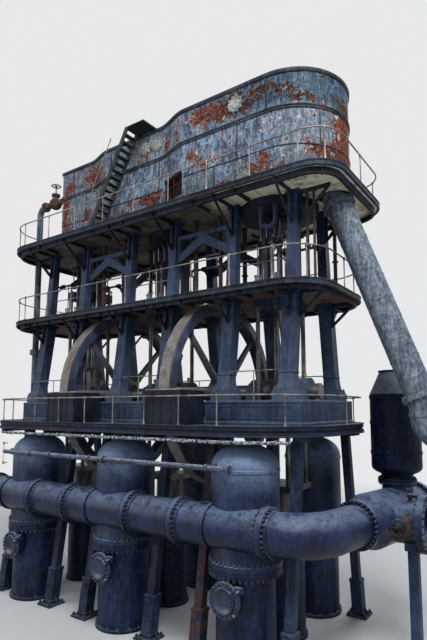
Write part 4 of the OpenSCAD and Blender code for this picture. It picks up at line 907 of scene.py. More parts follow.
def wheel_paint(name):
    f = Finish(name)
    y, z = f.axis("Y"), f.axis("Z") - axle_z
    out = (y * y + z * z) ** 0.5
    fine = f.noise(24, 5, 0.65)
    patch = f.noise(1.6, 6, 0.62, warp=0.4)
    blue = f.mix(f.step(patch, 0.36, 0.66), (0.018, 0.026, 0.048), (0.055, 0.075, 0.125))
    brown = f.mix(f.step(f.noise(3.0, 7, 0.66), 0.28, 0.70), (0.080, 0.066, 0.058), (0.215, 0.200, 0.190))
    worn = f.step(out, 3.03, 3.045).larger(f.step(out, 2.50, 2.42) * 0.45)
    colour = f.mix(worn, blue, brown)
    flecks = f.step(f.noise(5, 8, 0.7), 0.60, 0.66)
    colour = f.mix(flecks * 0.6, colour, (0.13, 0.06, 0.035))
    colour = f.tone(colour, 0.65 + fine * 0.7)
    return f.shade(Base_Color=colour, Roughness=0.38 + fine * 0.35, Normal=f.bump(fine, 0.003, 0.5),
                   Specular_IOR_Level=0.35)


wheel_finish = wheel_paint("wheel_paint")


def about_axle(angle):
    """Unit vectors outwards from the shaft at an angle, and square to that along the rim."""
    return np.array([0, math.cos(angle), math.sin(angle)]), np.array([0, -math.sin(angle), math.cos(angle)])


def flywheel(x):
    """Rim, hub and spokes. A spoke is a row of ovals along its radius, widest at the hub, that flare
    out where they meet the rim."""
    axle = np.array([x, 0, axle_z])
    rim = [(2.69, -0.19), (2.72, -0.20), (2.74, -0.22), (2.99, -0.22), (3.0, -0.205), (3.03, -0.205),
           (3.05, -0.19), (3.05, 0.19), (3.03, 0.205), (3.0, 0.205), (2.99, 0.22), (2.74, 0.22), (2.72, 0.20),
           (2.69, 0.19), (2.72, 0.05), (2.72, -0.05)]
    hub = [(0.24, -0.31), (0.44, -0.31), (0.47, -0.28), (0.47, -0.20), (0.56, -0.17), (0.56, 0.17),
           (0.47, 0.20), (0.47, 0.28), (0.44, 0.31), (0.24, 0.31)]
    rim_shape = turned(rim, axle, (1, 0, 0), 144, closed=True)
    hub_shape = turned(hub, axle, (1, 0, 0), 64, closed=True)
    radius = np.array([0.46, 0.54, 0.62, 0.8, 1.2, 1.7, 2.2, 2.5, 2.62, 2.70, 2.76])
    share = (radius - 0.46) / 2.3
    at_rim, at_hub = np.clip((radius - 2.5) / 0.26, 0, 1) ** 2, np.clip((0.62 - radius) / 0.16, 0, 1) ** 2
    a = 0.155 - 0.05 * share + 0.10 * at_rim + 0.05 * at_hub
    b = 0.105 - 0.025 * share + 0.04 * at_rim
    t = np.linspace(0, 2 * np.pi, 20, endpoint=False)[None, :, None]
    spokes = []
    for i in range(8):
        out, beside = about_axle(i * np.pi / 4)
        rings = (axle + radius[:, None, None] * out + a[:, None, None] * np.cos(t) * beside
                 + b[:, None, None] * np.sin(t) * np.array([1.0, 0, 0]))
        spokes.append(skin(rings))
    hub_nuts = combine(*[repeat(nut, round_places(8, 0.36, axle + [e * 0.31, 0, 0], (1, 0, 0)),
                                (e, 0, 0), 0.09)
                         for e in both])
    lug_angle = (np.arange(4) + 0.5) * np.pi / 2 + np.pi / 8
    lugs, lug_nuts = [], []
    for phi in lug_angle:
        out, beside = about_axle(phi)
        for e in both:
            at = axle + 2.64 * out + e * 0.05 * beside
            lugs.append(bars([at - [0.17, 0, 0]], [at + [0.17, 0, 0]], 0.09, 0.13, out))
            lug_nuts.append(repeat(nut, [at + e * 0.045 * beside + [dx, 0, 0] - 0.02 * out
                                         for dx in (-0.1, 0.1)], e * beside, 0.06))
    return combine(rim_shape, hub_shape, *spokes, hub_nuts, *lugs, *lug_nuts)


for x, node in zip(wheel_x, ("high_pressure_flywheel", "low_pressure_flywheel")):
    wheel = build(node.replace("_flywheel", "_wheel"), flywheel(x), wheel_finish)
    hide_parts(node)

# Running gear
# Forged rods in bright steel with bolted straps, between crossheads that slide on flat guides.

dress(frame_paint, "crossheads", "crosshead_guides")
crank_angle = np.radians([90, 210, 330])
crank, rod_length = 0.84, 3.3
pin_y, pin_z = crank * np.cos(crank_angle), axle_z + crank * np.sin(crank_angle)
head_z = pin_z + np.sqrt(rod_length ** 2 - pin_y ** 2)
gear_nuts = []
for x, y, z, top in zip(cylinders, pin_y, pin_z, head_z):
    rod = np.array([0, -y, top - z]) / rod_length
    across = np.array([0, rod[2], -rod[1]])
    pin = np.array([x, y, z])
    for e in both:
        ends = [pin + e * 0.27 * across + reach * rod for reach in (-0.20, 0.16)]
        for end, way in zip(ends[::-1], (rod, -rod)):
            gear_nuts.append(repeat(nut, [end + [dx, 0, 0] for dx in (-0.12, 0.12)], way, 0.10))
        gear_nuts.append(bars([ends[0]], [ends[1]], 0.40, 0.12, across))
    gear_nuts.append(repeat(nut, [(x + sx * 0.49, sy * 0.6, top + 0.17) for sx in both for sy in both],
                            size=0.12))
    gear_nuts.append(repeat(nut, [(x + sx * 0.3, sy * 0.13, top + 0.44) for sx in both for sy in both],
                            size=0.09))
build("gear_nuts", combine(*gear_nuts), steel)

# Columns
# Cast box columns in two storeys, which lean inwards, with hollow-curved feet and bolted flanges.

dress(frame_paint, "lower_columns", "upper_columns", "arch_braces", "drain_bend")
dress(aged_paint("cylinder_foot_paint", (0.018, 0.026, 0.044), (0.006, 0.008, 0.014), rust=0.12, dust=0.4),
      "cylinder_bottoms")
column_x = (cylinders[:, None] + [-1.03, 1.03]).ravel()
low_floor, high_floor = 10.2, 13.25
foot_y, middle_y, head_y = 1.62, 1.22, 1.02
# The flanges' nuts: distance from the shaft line, height, half pitches, rows, which way up, size
flanges = ((foot_y, 7.22, 0.285, 0.245, (-1, 0, 1), 1, 0.075), (middle_y, 10.26, 0.19, 0.19, both, 1, 0.05),
           (middle_y, 9.99, 0.225, 0.225, both, -1, 0.05), (head_y, 13.04, 0.18, 0.165, both, -1, 0.045))
column_nuts = [repeat(nut, [(x + ex * dx, s * y + ey * dy, z) for ex in both for ey in rows],
                      (0, 0, up), size)
               for x in column_x for s in both for y, z, dx, dy, rows, up, size in flanges]
storeys = combine(*[square_collar(x, s * y, z, half, high, out) for x in column_x for s in both
                    for y, z, half, high, out in (
                        (foot_y - 0.4 * 0.46 / 2.83, 7.68, 0.2, 0.06, 0.022),
                        (middle_y + 0.4 * 0.16 / 2.83, 9.89, 0.2, 0.06, 0.022),
                        (middle_y - 0.2 * 0.14 / 2.9, 10.34, 0.163, 0.05, 0.02),
                        (head_y + 0.2 * 0.16 / 2.9, 12.94, 0.137, 0.05, 0.02))])
build("column_fittings", combine(*column_nuts, storeys), frame_paint)

# Valve gear
# Above the lower gallery a lay shaft turns in brackets on the columns and works the valves in the
# cylinder bottoms through eccentrics, rods and bell cranks; oil dashpots stand on the gallery.

gear_paint = aged_paint("gear_paint", (0.030, 0.040, 0.075), (0.008, 0.010, 0.020), rust=0.17, dust=0.5)
gear_y, gear_z, lever_z = 0.62, 11.85, 12.50
shaft_parts, rod_parts, pot_parts, iron_parts = [], [], [], []
for s in both:
    shaft_parts.append(turned([(0.042, -5.75), (0.045, -5.74), (0.045, 5.74), (0.042, 5.75)],
                              (0, s * gear_y, gear_z), (1, 0, 0), 20))
    for x in column_x:
        iron_parts.append(bars([(x, s * 1.0, gear_z - 0.07)], [(x, s * 0.66, gear_z - 0.07)], 0.14, 0.05))
        iron_parts.append(bars([(x, s * 1.02, gear_z - 0.42)], [(x, s * 0.70, gear_z - 0.09)], 0.05, 0.06))
        iron_parts.append(turned([(0.06, -0.09), (0.085, -0.08), (0.085, 0.08), (0.06, 0.09)],
                                 (x, s * gear_y, gear_z), (1, 0, 0), 20))
    for x in cylinders:
        for dx in (-0.34, -0.12, 0.16, 0.36):
            throw = 0.05 * math.cos(9 * dx)
            iron_parts.append(turned([(0.12, -0.035), (0.15, -0.03), (0.15, -0.012), (0.135, -0.008),
                                      (0.135, 0.008), (0.15, 0.012), (0.15, 0.03), (0.12, 0.035)],
                                     (x + dx, s * gear_y, gear_z + throw), (1, 0, 0), 24))
            rod_parts.append(bars([(x + dx, s * gear_y, gear_z + throw + 0.13)],
                                  [(x + dx, s * (gear_y + 0.03), lever_z + 0.02)], 0.022, 0.045, (0, 1, 0)))
            iron_parts.append(bars([(x + dx, s * (gear_y + 0.10), lever_z + 0.06)],
                                   [(x + dx, s * (gear_y - 0.22), lever_z)],
                                   0.03, 0.07))
            rod_parts.append(turned([(0.016, 0), (0.016, 0.34)], (x + dx, s * (gear_y - 0.20), lever_z),
                                    sides=12))
            iron_parts.append(turned([(0.085, 0), (0.085, 0.03), (0.05, 0.04), (0.045, 0.09), (0.03, 0.10)],
                                     (x + dx, s * (gear_y - 0.20), 12.832), (0, 0, -1), 20))
        for dx in (-0.28, 0.28):
            pot_parts.append(turned([(0.13, 0), (0.13, 0.03), (0.10, 0.04), (0.10, 0.50), (0.115, 0.51),
                                     (0.115, 0.56), (0.03, 0.58)], (x + dx, s * 0.94, low_floor), sides=28))
            rod_parts.append(turned([(0.018, 0), (0.018, 0.92)], (x + dx, s * 0.94, 10.77), sides=12))
            iron_parts.append(bars([(x + dx, s * 0.98, 11.72)], [(x + dx, s * 0.60, 11.80)], 0.035, 0.07))
build("valve_shafts", combine(*shaft_parts, *rod_parts, *pot_parts), steel)
build("valve_gear", combine(*iron_parts), gear_paint)

# Inner rails between the columns, round the rods above and over the bedplates below, and the slim
# steam and drain pipes that run down beside the low-pressure columns
inner = []
for s in both:
    for x in cylinders:
        for z, y, half, low in ((7.75, 1.73, 0.84, 6.9), (11.1, 1.10, 0.88, low_floor)):
            inner.append(pipe([(x - half, s * y, z), (x, s * y, z), (x + half, s * y, z)], 0.019, 10))
            inner.append(pipe([(x, s * y, h) for h in (low, (low + z) / 2, z)], 0.016, 10, (0, 1, 0)))
build("inner_rails", combine(*inner), rail_finish)
slim = []
slim_top = 13.09
for x, y, r in ((5.92, -0.98, 0.050), (6.10, -0.90, 0.040), (1.72, -0.80, 0.085), (2.68, -0.72, 0.07),
                (-2.80, -0.80, 0.085), (-1.75, -0.72, 0.06), (5.98, 1.0, 0.06), (2.7, 0.8, 0.08),
                (-1.8, 0.8, 0.08)):
    slim.append(turned([(r, low_floor), (r, slim_top)], (x, y, 0), sides=20))
    for z in (low_floor, low_floor + 1.15, slim_top - 0.04):
        slim.append(turned([(r, z - 0.01), (r + 0.04, z), (r + 0.04, z + 0.035), (r, z + 0.045)], (x, y, 0),
                           sides=20, closed=True))
pipe_brown = aged_paint("slim_pipe_paint", (0.10, 0.085, 0.085), (0.030, 0.022, 0.022), rust=0.24, dust=0.2,
                        grain=2.0)
build("slim_pipes", combine(*slim), pipe_brown)

# Galleries
# Two iron platforms round the engine on open angle knees: dark edges with a bead, joists below,
# cream paint on the upper one's ceiling, brightened as painted light, and orange-brown rust under the lower
# one.

low_plan = dict(x0=-7.3, x1=6.695, half=2.3, r0=1.5, r1=1.3)
high_plan = dict(x0=-7.15, x1=7.28, half=2.4, r0=1.3, r1=1.0)
edge_blue = (0.022, 0.032, 0.052)
low_finish = plate_paint("lower_gallery_plate", (0.06, 0.06, 0.06), edge_blue, (0.15, 0.088, 0.048), 0.22,
                         (0.040, 0.030, 0.024))
# The upper gallery's cream ceiling is brightened as painted light.
high_finish = plate_paint("upper_gallery_plate", (0.06, 0.06, 0.06), edge_blue, (0.15, 0.14, 0.10), 0.12,
                          (0.035, 0.034, 0.030), (0.82, 0.78, 0.56))
dress(low_finish, "lower_gallery")
dress(high_finish, "upper_gallery")
edge_paint = aged_paint("gallery_edge_paint", (0.024, 0.034, 0.056), (0.006, 0.008, 0.015), rust=0.13,
                        dust=0.8, dust_tint=(0.11, 0.13, 0.16))
dress(edge_paint, "lower_gallery_brackets", "upper_gallery_brackets")


def gallery_edge(z):
    """Fascia channel round a gallery: a top bead, a flat web and a lower lip, below a top at z."""
    return [(-0.05, z - 0.18), (0.010, z - 0.18), (0.019, z - 0.165), (0.019, z - 0.145), (0.007, z - 0.135),
            (0.007, z - 0.055), (0.018, z - 0.045), (0.026, z - 0.022), (0.018, z), (-0.02, z + 0.008),
            (-0.05, z + 0.004)]


def joists(plan, z, inner, skip, deep, step=0.72, last=9.0):
    """T-shaped joists across the outer walkway of a gallery: a web and a lower flange each."""
    stations = np.arange(plan["x0"] + plan["r0"] * 0.55, min(last, plan["x1"] - plan["r1"] * 0.4), step)
    stations = stations[[min(abs(x - c) for c in skip) > 0.17 for x in stations]]
    webs, feet = [], []
    for s in both:
        for x in stations:
            past = max(0.0, plan["x0"] + plan["r0"] - x, x - plan["x1"] + plan["r1"])
            r = plan["r0"] if x < 0 else plan["r1"]
            edge = plan["half"] - r + math.sqrt(max(0.0, r * r - past * past)) - 0.06
            webs.append(((x, s * inner, z - deep / 2), (x, s * edge, z - deep / 2)))
            feet.append(((x, s * inner, z - deep), (x, s * edge, z - deep)))
    web, foot = (np.array(k) for k in (webs, feet))
    return combine(bars(web[:, 0], web[:, 1], 0.022, deep), bars(foot[:, 0], foot[:, 1], 0.11, 0.022))


low_edge = moulding(rounded_plan(**low_plan), gallery_edge(low_floor))
high_edge = moulding(rounded_plan(**high_plan), gallery_edge(high_floor))
build("gallery_edges", combine(low_edge, high_edge), edge_paint)
low_joists = joists(low_plan, 10.045, 1.46, column_x, 0.12)
high_joists = joists(high_plan, 13.095, 1.34, column_x, 0.10, 1.52, 4.9)
# An angle-iron ring inside each fascia, its foot turned inwards
ring_beams = combine(*[
    moulding(rounded_plan(**plan, back=back),
             [(-0.10, z - deep), (0.0, z - deep), (0.0, z + 0.01), (-0.014, z + 0.01),
              (-0.014, z - deep + 0.014), (-0.10, z - deep + 0.014)])
    for plan, back, z, deep in ((high_plan, 0.14, 13.09, 0.17), (low_plan, 0.12, 10.04, 0.12))])
build("gallery_joists", combine(low_joists, high_joists, ring_beams), edge_paint)
handrail("lower_handrail", low_plan, low_floor, 0.95, 1.4, "lower_gallery_rail")
handrail("upper_handrail", high_plan, high_floor, 0.95, 1.45, "upper_gallery_rail")

# Cylinder casing
# Lagging of painted sheet iron over the three cylinders, in two courses with lapped and riveted
# seams, a plinth, a double moulding and a dark top rim. The paint peels in streaks and patches of
# orange-brown rust, one sheet is lost at the front, and round bolted covers close the openings.

casing_z0, casing_z1 = high_floor, 16.6
band_z = casing_z0 + 0.64 * (casing_z1 - casing_z0)
# The casing's left end, and the middle and radius of its round right end
left_x, round_x, round_r = -5.12, 5.0, 1.8


def casing_half(x):
    """Half width of the casing: an S-curve between the three cylinders' widths."""
    def ease(t):
        t = np.clip(t, 0, 1)
        return t * t * (3 - 2 * t)
    return 1.12 + 0.30 * ease((x + 3.35) / 1.3) + 0.38 * ease((x - 0.55) / 1.4)


hole_x0, hole_x1, hole_z0, hole_z1 = 0.79, 1.86, 13.67, 14.52
side_x = np.unique(np.concatenate([np.linspace(left_x, round_x, 170),
                                   [hole_x0, hole_x0 + 0.004, hole_x1 - 0.004, hole_x1]]))
end_turn = np.radians(np.linspace(-90, 90, 80))[1:-1]
end_y = np.linspace(1.12, -1.12, 30)[1:-1]
casing_plan = np.concatenate([np.c_[side_x, -casing_half(side_x)],
                              np.c_[round_x + round_r * np.cos(end_turn), round_r * np.sin(end_turn)],
                              np.c_[side_x, casing_half(side_x)][::-1],
                              np.c_[np.full(len(end_y), left_x), end_y]])
way = np.roll(casing_plan, -1, 0) - np.roll(casing_plan, 1, 0)
casing_out = np.c_[way[:, 1], -way[:, 0]] / np.linalg.norm(way, axis=1, keepdims=True)

# Rust patches on the front: where each is centred and how far it spreads, in x and height
patches = np.array([(-3.2, 16.05, 0.62, 0.46), (-4.15, 15.9, 0.40, 0.18), (-4.75, 15.6, 0.24, 0.75),
                    (-2.9, 15.7, 0.36, 0.5), (0.95, 15.75, 0.20, 0.50), (1.58, 15.85, 0.18, 0.42),
                    (2.7, 16.15, 0.60, 0.40), (3.3, 15.95, 0.65, 0.26), (4.3, 15.85, 0.70, 0.24),
                    (3.9, 16.3, 0.7, 0.16), (5.62, 16.05, 0.26, 0.20), (5.95, 15.72, 0.65, 0.16),
                    (5.0, 16.2, 0.35, 0.16), (6.80, 15.3, 0.14, 0.85), (6.78, 14.4, 0.18, 0.9),
                    (6.6, 13.9, 0.35, 0.4), (4.55, 13.75, 0.36, 0.34), (4.95, 14.0, 0.26, 0.26),
                    (2.73, 14.5, 0.36, 0.26), (-0.2, 14.12, 0.75, 0.16), (0.15, 13.85, 0.6, 0.36),
                    (-0.15, 15.9, 0.30, 0.36), (3.5, 13.6, 0.4, 0.16), (-1.6, 13.7, 1.0, 0.3),
                    (-4.9, 14.6, 0.20, 0.8), (-4.5, 13.9, 0.3, 0.3), (2.2, 14.9, 0.22, 0.2),
                    (6.3, 14.2, 0.25, 0.2), (5.6, 13.6, 0.5, 0.12), (-2.2, 15.2, 0.4, 0.2),
                    (-3.6, 14.4, 0.3, 0.35), (-2.6, 14.3, 0.25, 0.4), (5.2, 14.8, 0.16, 0.2)])
levels = np.unique(np.concatenate([np.linspace(casing_z0, casing_z1, 72),
                                   [hole_z0, hole_z0 + 0.004, hole_z1 - 0.004, hole_z1]]))
plan_x, plan_y = casing_plan.T
height = levels[:, None]
front = (plan_y < 0.3)[None]


def rust_spread(spots):
    """A soft hill for each patch: exp(-(x / its width)^2 - (z / its height)^2), all added up."""
    return sum(np.exp(-((plan_x - x) / a) ** 2 - ((height - z) / b) ** 2) for x, z, a, b in spots)


rear_patches = patches[::2] * [-1, 1, 1.6, 1] + [0.6, 0, 0, 0]
wear = rust_spread(patches) * front + rust_spread(rear_patches) * (1 - front) * 0.9

# Three courses of sheets: low end, high end, and where they meet along X. The first joints of each
# course are laps; the others have cover strips.
courses = ((13.41, 14.243, (-3.0, 2.02, 4.45, 5.6), (-4.3, -1.5, 0.54, 3.16, 6.41)),
           (14.277, band_z - 0.03, (-2.1, -0.47, 2.2, 5.3), (-3.6, 0.54, 4.02, 6.43)),
           (band_z + 0.115, 16.48, (-3.3, -0.6, 0.75, 2.2, 3.3, 6.0, 6.6), (-4.4, -1.9, 5.04)))
row = (height > 14.26) * 1 + (height > band_z + 0.04)
number = sum((row == k) * (np.searchsorted(sorted(laps + ends), plan_x)[None] + 20 * k)
             for k, (low, high, laps, ends) in enumerate(courses))
sheet_tones = np.random.default_rng(11).uniform(0, 1, 160)
sheet_tone = sheet_tones[(number + 60 * (1 - front)).astype(int)]

# Shallow dents of the thin sheets: sums of long waves a few millimetres deep, and each sheet's own step
along = np.cumsum(np.r_[0, np.linalg.norm(np.diff(casing_plan, axis=0), axis=1)])[None]
dent = 0.005 * np.sin(along * 2.1 + 3 * np.sin(height * 1.3)) * np.sin(height * 3.1 + along * 0.7)
dent = dent + 0.003 * np.sin(along * 7.3 + 2 * np.sin(height * 4.1)) * np.sin(height * 8.3 + along * 1.9)
dent = dent + (sheet_tone - 0.5) * 0.007
# The opening of the lost sheet goes 0.4 m in, as far as the cylinder behind it
lost = ((plan_y < -1.2) & (plan_x > hole_x0 + 0.002) & (plan_x < hole_x1 - 0.002))[None] & (
    height > hole_z0 + 0.002) & (height < hole_z1 - 0.002)
dent = dent - lost * 0.40
wear = wear + lost * 3.0
wall_rings = np.concatenate([casing_plan[None] + (dent - 0.006)[..., None] * casing_out[None],
                             np.broadcast_to(height[..., None], (*dent.shape, 1))], -1)


def casing_paint(name):
    """Pale blue paint over red lead and rust. The mesh's wear value says where the big rust patches
    lie and its sheet value makes each sheet lighter or darker; dirt runs down in streaks, and flakes
    leave dark purple and white marks."""
    f = Finish(name)
    wear_at = f.node("ShaderNodeAttribute", {"attribute_name": "wear"}, out="Fac")
    sheet = f.node("ShaderNodeAttribute", {"attribute_name": "sheet"}, out="Fac")
    patch = f.noise(1.3, 6, 0.62, warp=0.5)
    flake = f.noise(3.2, 6, 0.68, (1, 1, 0.8), 0.6)
    speck = f.noise(6.0, 4, 0.64, (1, 1, 0.85), 0.8)
    runs = f.noise(2.8, 5, 0.66, (2.0, 2.0, 0.55), 0.4)
    drips = f.noise(6.0, 4, 0.62, (2.2, 2.2, 0.5), 0.3)
    fine = f.noise(26, 4, 0.7)
    tone = f.step(patch * 0.30 + runs * 0.30 + speck * 0.40, 0.43, 0.57)
    colour = f.mix(tone, (0.046, 0.058, 0.086), (0.200, 0.275, 0.380))
    colour = f.mix(f.step(sheet, 0.62, 0.95) * 0.5, colour, (0.115, 0.145, 0.145))
    colour = f.mix(f.step(drips, 0.54, 0.62) * 0.55, colour, (0.320, 0.40, 0.50))
    colour = f.mix(f.step(drips, 0.45, 0.37) * 0.6, colour, (0.040, 0.044, 0.062))
    stain = f.step(speck * 0.6 + runs * 0.4, 0.545, 0.585)
    colour = f.mix(stain * 0.9, colour, (0.034, 0.026, 0.046))
    rust_amount = wear_at * 0.36 + (flake - 0.5) * 1.5 + (runs - 0.5) * 0.5 + (speck - 0.5) * 1.3
    rusty = f.step(rust_amount, 0.20, 0.235)
    rust_tone = f.mix(f.step(f.noise(9.0, 4, 0.66, warp=0.5), 0.40, 0.62),
                      (0.026, 0.011, 0.013), (0.270, 0.064, 0.020))
    rust_tone = f.mix(f.step(patch, 0.5, 0.62) * 0.5, rust_tone, (0.085, 0.036, 0.030))
    colour = f.mix(rusty * 0.95, colour, rust_tone)
    lip = f.step(rust_amount, 0.13, 0.17) * f.step(rust_amount, 0.22, 0.195)
    colour = f.mix(lip * 0.55, colour, (0.38, 0.42, 0.47))
    white = f.step(speck, 0.60, 0.63) * f.step(flake, 0.46, 0.52)
    colour = f.mix(white * 0.8, colour, (0.46, 0.50, 0.56))
    shaded = f.step(f.axis("Z"), 15.3, 15.8) * f.step(f.axis("X"), 1.8, 5.0)
    colour = f.node("ShaderNodeVectorMath", {"operation": "MULTIPLY"}, colour,
                    f.mix(shaded, (1.0, 1.0, 1.0), (0.62, 0.86, 1.0)))
    height_tone = f.step(f.axis("Z"), 13.3, 14.6) * 0.28
    colour = f.tone(colour, 0.64 + (fine - 0.5) * 1.1 + height_tone - shaded * 0.44)
    top_dust = f.step(f.facing_up(), 0.5, 0.9)
    dust = f.mix(f.step(patch, 0.4, 0.62), (0.055, 0.062, 0.070), (0.115, 0.125, 0.135))
    colour = f.mix(top_dust * 0.75, colour, dust)
    skin_height = fine * 0.4 + rusty * -0.9 + flake * 0.8 - stain * 0.3
    return f.shade(Base_Color=colour, Roughness=0.55 + rusty * 0.3, Normal=f.bump(skin_height, 0.007, 0.85),
                   Specular_IOR_Level=0.12)


sheet_paint = casing_paint("casing_paint")
wall = build("casing_sheets", skin(wall_rings), sheet_paint)
for layer, values in (("wear", wear), ("sheet", sheet_tone)):
    wall.data.attributes.new(layer, "FLOAT", "POINT").data.foreach_set(
        "value", np.concatenate([values.ravel(), [0.2, 0.2]]).astype(np.float32))
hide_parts("high_pressure_casing", "intermediate_casing", "low_pressure_casing")

rim_dark = aged_paint("casing_rim_paint", (0.052, 0.064, 0.086), (0.013, 0.015, 0.020), rust=0.15, dust=0.5,
                      rust_tint=(0.19, 0.075, 0.04))
half_round = [(-0.01, -0.03), (0.012, -0.028), (0.026, -0.014), (0.030, 0), (0.026, 0.014), (0.012, 0.028),
              (-0.01, 0.03)]
cornice = [(-0.02, 16.48), (0.012, 16.485), (0.030, 16.50), (0.042, 16.53), (0.046, 16.57), (0.046, 16.60),
           (0.030, 16.615), (-0.02, 16.615)]
plinth = [(-0.02, 13.251), (0.034, 13.251), (0.034, 13.36), (0.024, 13.39), (0.008, 13.41), (-0.02, 13.41)]
rings = [moulding(casing_plan, cornice), moulding(casing_plan, plinth),
         moulding(casing_plan, [(o, band_z + h) for o, h in half_round]),
         moulding(casing_plan, [(o, band_z + 0.085 + h) for o, h in half_round])]
# The half-round over the lower lap stops at each side of the lost sheet
gap_start, gap_end = np.argmax(casing_plan[:, 0] > 0.75), np.argmax(casing_plan[:, 0] > 1.90)
lap_plan = np.roll(casing_plan, -gap_end, 0)[:len(casing_plan) - (gap_end - gap_start)]
rings.append(pipe(np.c_[lap_plan, np.full(len(lap_plan), 14.26)], 0.018, 8))
build("casing_mouldings", combine(*rings), rim_dark)

# Dark cover strips over the seams, with a row of screws at each side
strips, screws = [], []
for low, high, laps, ends in courses:
    for x in ends:
        for s in both:
            if x > round_x:
                angle = s * math.acos((x - round_x) / round_r)
                normal = np.array([math.cos(angle), math.sin(angle), 0.0])
                at = np.array([round_x, 0, 0]) + (round_r + 0.002) * normal
            else:
                slope = (casing_half(x + 0.01) - casing_half(x - 0.01)) / 0.02
                normal = np.array([-slope, s, 0.0]) / math.hypot(slope, 1)
                at = np.array([x, s * (casing_half(x) + 0.002), 0])
            if 0.7 < x < 1.9 and s < 0 and low < 14:
                continue
            beside = np.array([-normal[1], normal[0], 0.0])
            strips.append(bars([at + [0, 0, low]], [at + [0, 0, high]], 0.034, 0.016, normal))
            screws.append(repeat(rivet, [at + e * 0.036 * beside - 0.002 * normal + [0, 0, z] for e in both
                                         for z in np.arange(low + 0.06, high - 0.03, 0.12)], normal, 0.018))
build("casing_straps", combine(*strips, *screws), rim_dark)

# Round covers over the valve openings: scalloped plates between bolts, x, height and radius
cover_paint = aged_paint("cover_paint", (0.340, 0.365, 0.355), (0.150, 0.165, 0.165), rust=0.12, dust=0.2,
                         rust_tint=(0.15, 0.065, 0.04), grain=2.0, mottle=0.7)


def scalloped(radius, thick, waves=10):
    """Plate whose edge swells and narrows in waves: radius (1 + 0.09 cos(waves t)), with a rounded
    edge and a raised round middle."""
    t = np.linspace(0, 2 * np.pi, 80, endpoint=False)[None, :]
    share = np.array([1, 1, 0.97, 0.62, 0.58, 0.3, 0.03])[:, None]
    wave = 1 + 0.09 * np.cos(waves * t) * (share > 0.9)
    high = np.array([-0.3, 0.8, 1.0, 1.05, 1.5, 1.7, 1.7])[:, None] * thick
    r = radius * share * wave
    return skin(np.stack([r * np.cos(t), r * np.sin(t), high + 0 * t], -1))


cover_parts = []
for x, z, r in ((3.96, 16.04, 0.26), (0.42, 16.04, 0.26), (-0.17, 16.03, 0.25), (4.22, 13.62, 0.24),
                (-3.98, 15.89, 0.20)):
    for s in both:
        y = s * (casing_half(x) + 0.004)
        cover_parts.append(repeat(scalloped(r, 0.03), [(x, y, z)], (0, s, 0)))
        cover_parts.append(repeat(nut, round_places(10, r * 0.86, (x, y + s * 0.028, z), (0, 1, 0), 0.0),
                                  (0, s, 0), 0.036))
build("casing_covers", combine(*cover_parts), cover_paint)

# The bared cylinder wall and the angle-iron frame behind the lost sheet, rusty iron painted near black as
# painted shade inside the recess
recess_x = np.linspace(hole_x0 + 0.01, hole_x1 - 0.01, 20)
recess_y = -(casing_half(recess_x) - 0.34)
recess_rings = np.stack([np.c_[recess_x, recess_y, np.full(20, z)]
                         for z in np.linspace(hole_z0 + 0.01, hole_z1 - 0.01, 8)])
recess = skin(np.concatenate([recess_rings, recess_rings[:, ::-1] + [0, 0.03, 0]], 1))
hole_y0, hole_y1 = -casing_half(hole_x0) + 0.10, -casing_half(hole_x1) + 0.10
rims = [bars([(hole_x0 + 0.01, hole_y0, z)], [(hole_x1 - 0.01, hole_y1, z)], 0.05, 0.03)
        for z in (hole_z0 + 0.024, 14.19, hole_z1 - 0.024)]
posts = [bars(*[[(x, -casing_half(x) + 0.14, z)] for z in (hole_z0 + 0.01, hole_z1 - 0.01)],
              0.03, 0.05, (0, 1, 0)) for x in (hole_x0 + 0.03, 1.30, hole_x1 - 0.03)]
# Painted shade: the bare iron is painted near black, darker than rust, for the shade inside the opening.
bare_iron_in_painted_shade = aged_paint("bared_iron_painted_shade", (0.040, 0.028, 0.022), (0.010, 0.008, 0.007), rust=0.2, dust=0.3)
build("bared_cylinder", combine(recess, *rims, *posts), bare_iron_in_painted_shade)

# Cylinder heads under low domed lids on the casing's top
lid = [(1.0, 0), (1.0, 0.03), (0.98, 0.04), (0.80, 0.04), (0.70, 0.062), (0.3, 0.085), (0.05, 0.088)]
head_parts = []
for x, r in zip(cylinders, (0.72, 1.05, 1.35)):
    head_parts.append(turned([(a * r, h) for a, h in lid], (x, 0, 16.598), sides=72))
    head_parts.append(repeat(nut, round_places(28, r * 0.9, (x, 0, 16.636), (0, 0, 1)), size=0.05))
build("cylinder_heads", combine(*head_parts), rim_dark)

# Stair
# Steep iron stair to the casing's top, dark green-black with treads worn pale, and a thin handrail.

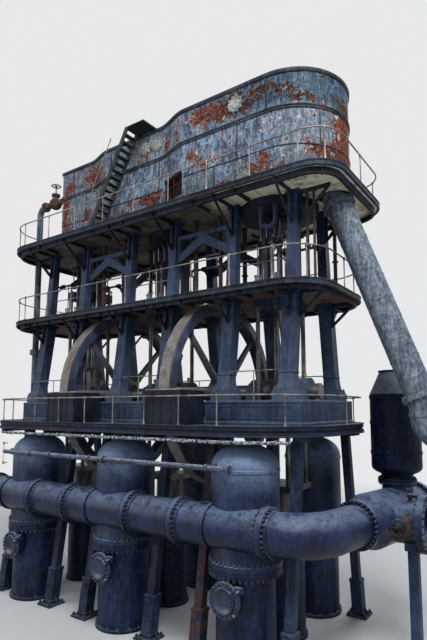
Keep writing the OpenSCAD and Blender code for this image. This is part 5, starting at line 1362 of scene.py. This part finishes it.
stair_finish = aged_paint("stair_iron", (0.030, 0.046, 0.044), (0.008, 0.013, 0.013), rust=0.08, dust=0.3)
dress(stair_finish, "stair")
tread_finish = aged_paint("tread_iron", (0.34, 0.37, 0.40), (0.12, 0.13, 0.14), rust=0.12, dust=0.4)
tread = np.arange(1, 15) / 15.0
stair_run, stair_rise = 1.85, 3.35
tread_x, tread_z = -2.35 + stair_run * tread, casing_z0 + stair_rise * tread + 0.036
tread_y = -2.12
treads = bars(np.c_[tread_x + 0.095, np.full(14, tread_y + 0.045), tread_z],
              np.c_[tread_x + 0.095, np.full(14, tread_y + 0.515), tread_z], 0.185, 0.014)
build("stair_treads", treads, tread_finish)
slope = np.array([stair_run, 0, stair_rise]) / math.hypot(stair_run, stair_rise)
stair_rails = []
for y in (tread_y + 0.02, tread_y + 0.54):
    foot = np.array([-2.25, y, casing_z0 + 0.2])
    rise = np.array([-0.62, 0, 0.0])
    line = [foot + rise + slope * d for d in np.linspace(0.1, 3.45, 6)]
    stair_rails.append(pipe(line, 0.018, 10, (0, 1, 0)))
    stair_rails += [pipe([p - rise, p], 0.014, 8, (0, 1, 0)) for p in line[::2]]
build("stair_rails", combine(*stair_rails), rail_finish)

# Steam and exhaust pipes
# The steam pipe climbs at the high-pressure end to its throttle valve; the wide exhaust pipe leans
# out from the low-pressure end. Pale gray-blue paint, streaked with grime and pitted.

exhaust_paint = aged_paint("exhaust_paint", (0.205, 0.250, 0.300), (0.085, 0.108, 0.142), rust=0.10, dust=0.3,
                           dust_tint=(0.25, 0.28, 0.31), streak=0.75, rough=0.5, grain=1.4, mottle=0.85,
                           shine=0.12)
dress(exhaust_paint, "exhaust_neck", "exhaust_pipe", "exhaust_bend")
steam_paint = aged_paint("steam_pipe_paint", (0.14, 0.18, 0.225), (0.045, 0.056, 0.08), rust=0.17, dust=0.4)
dress(steam_paint, "steam_pipe")
valve_paint = aged_paint("valve_paint", (0.16, 0.09, 0.055), (0.05, 0.035, 0.03), rust=0.25, dust=0.3)
dress(valve_paint, "throttle_valve")
lean = math.radians(20)
down = np.array([math.sin(lean), 0, -math.cos(lean)])
neck = np.array([6.4, 0, 13.1])
exhaust_nuts = combine(joint_ring(neck + 0.35 * down, down, 0.445, 20, 0.066, 0.05),
                       joint_ring(neck + 6.5 * down, down, 0.445, 20, 0.066, 0.05))
exhaust_seam = [(0.385, -0.03), (0.398, -0.03), (0.398, 0.03), (0.385, 0.03)]
exhaust_seams = [turned(exhaust_seam, neck + d * down, down, 64, closed=True) for d in (1.6, 2.9, 4.2, 5.4)]
steam_x, steam_y = -6.85, -0.94
steam_nuts = combine(*[repeat(nut, round_places(12, 0.20, (steam_x, steam_y, z), (0, 0, 1)), (0, 0, e), 0.04)
                       for z, e in ((9.16, 1), (9.0, -1), (6.16, 1))],
                     joint_ring(np.array([-6.47, steam_y, 15.5]), (1, 0, 0), 0.17, 10, 0.05, 0.04))
build("exhaust_fittings", combine(exhaust_nuts, *exhaust_seams), exhaust_paint)
build("steam_nuts", steam_nuts, steam_paint)
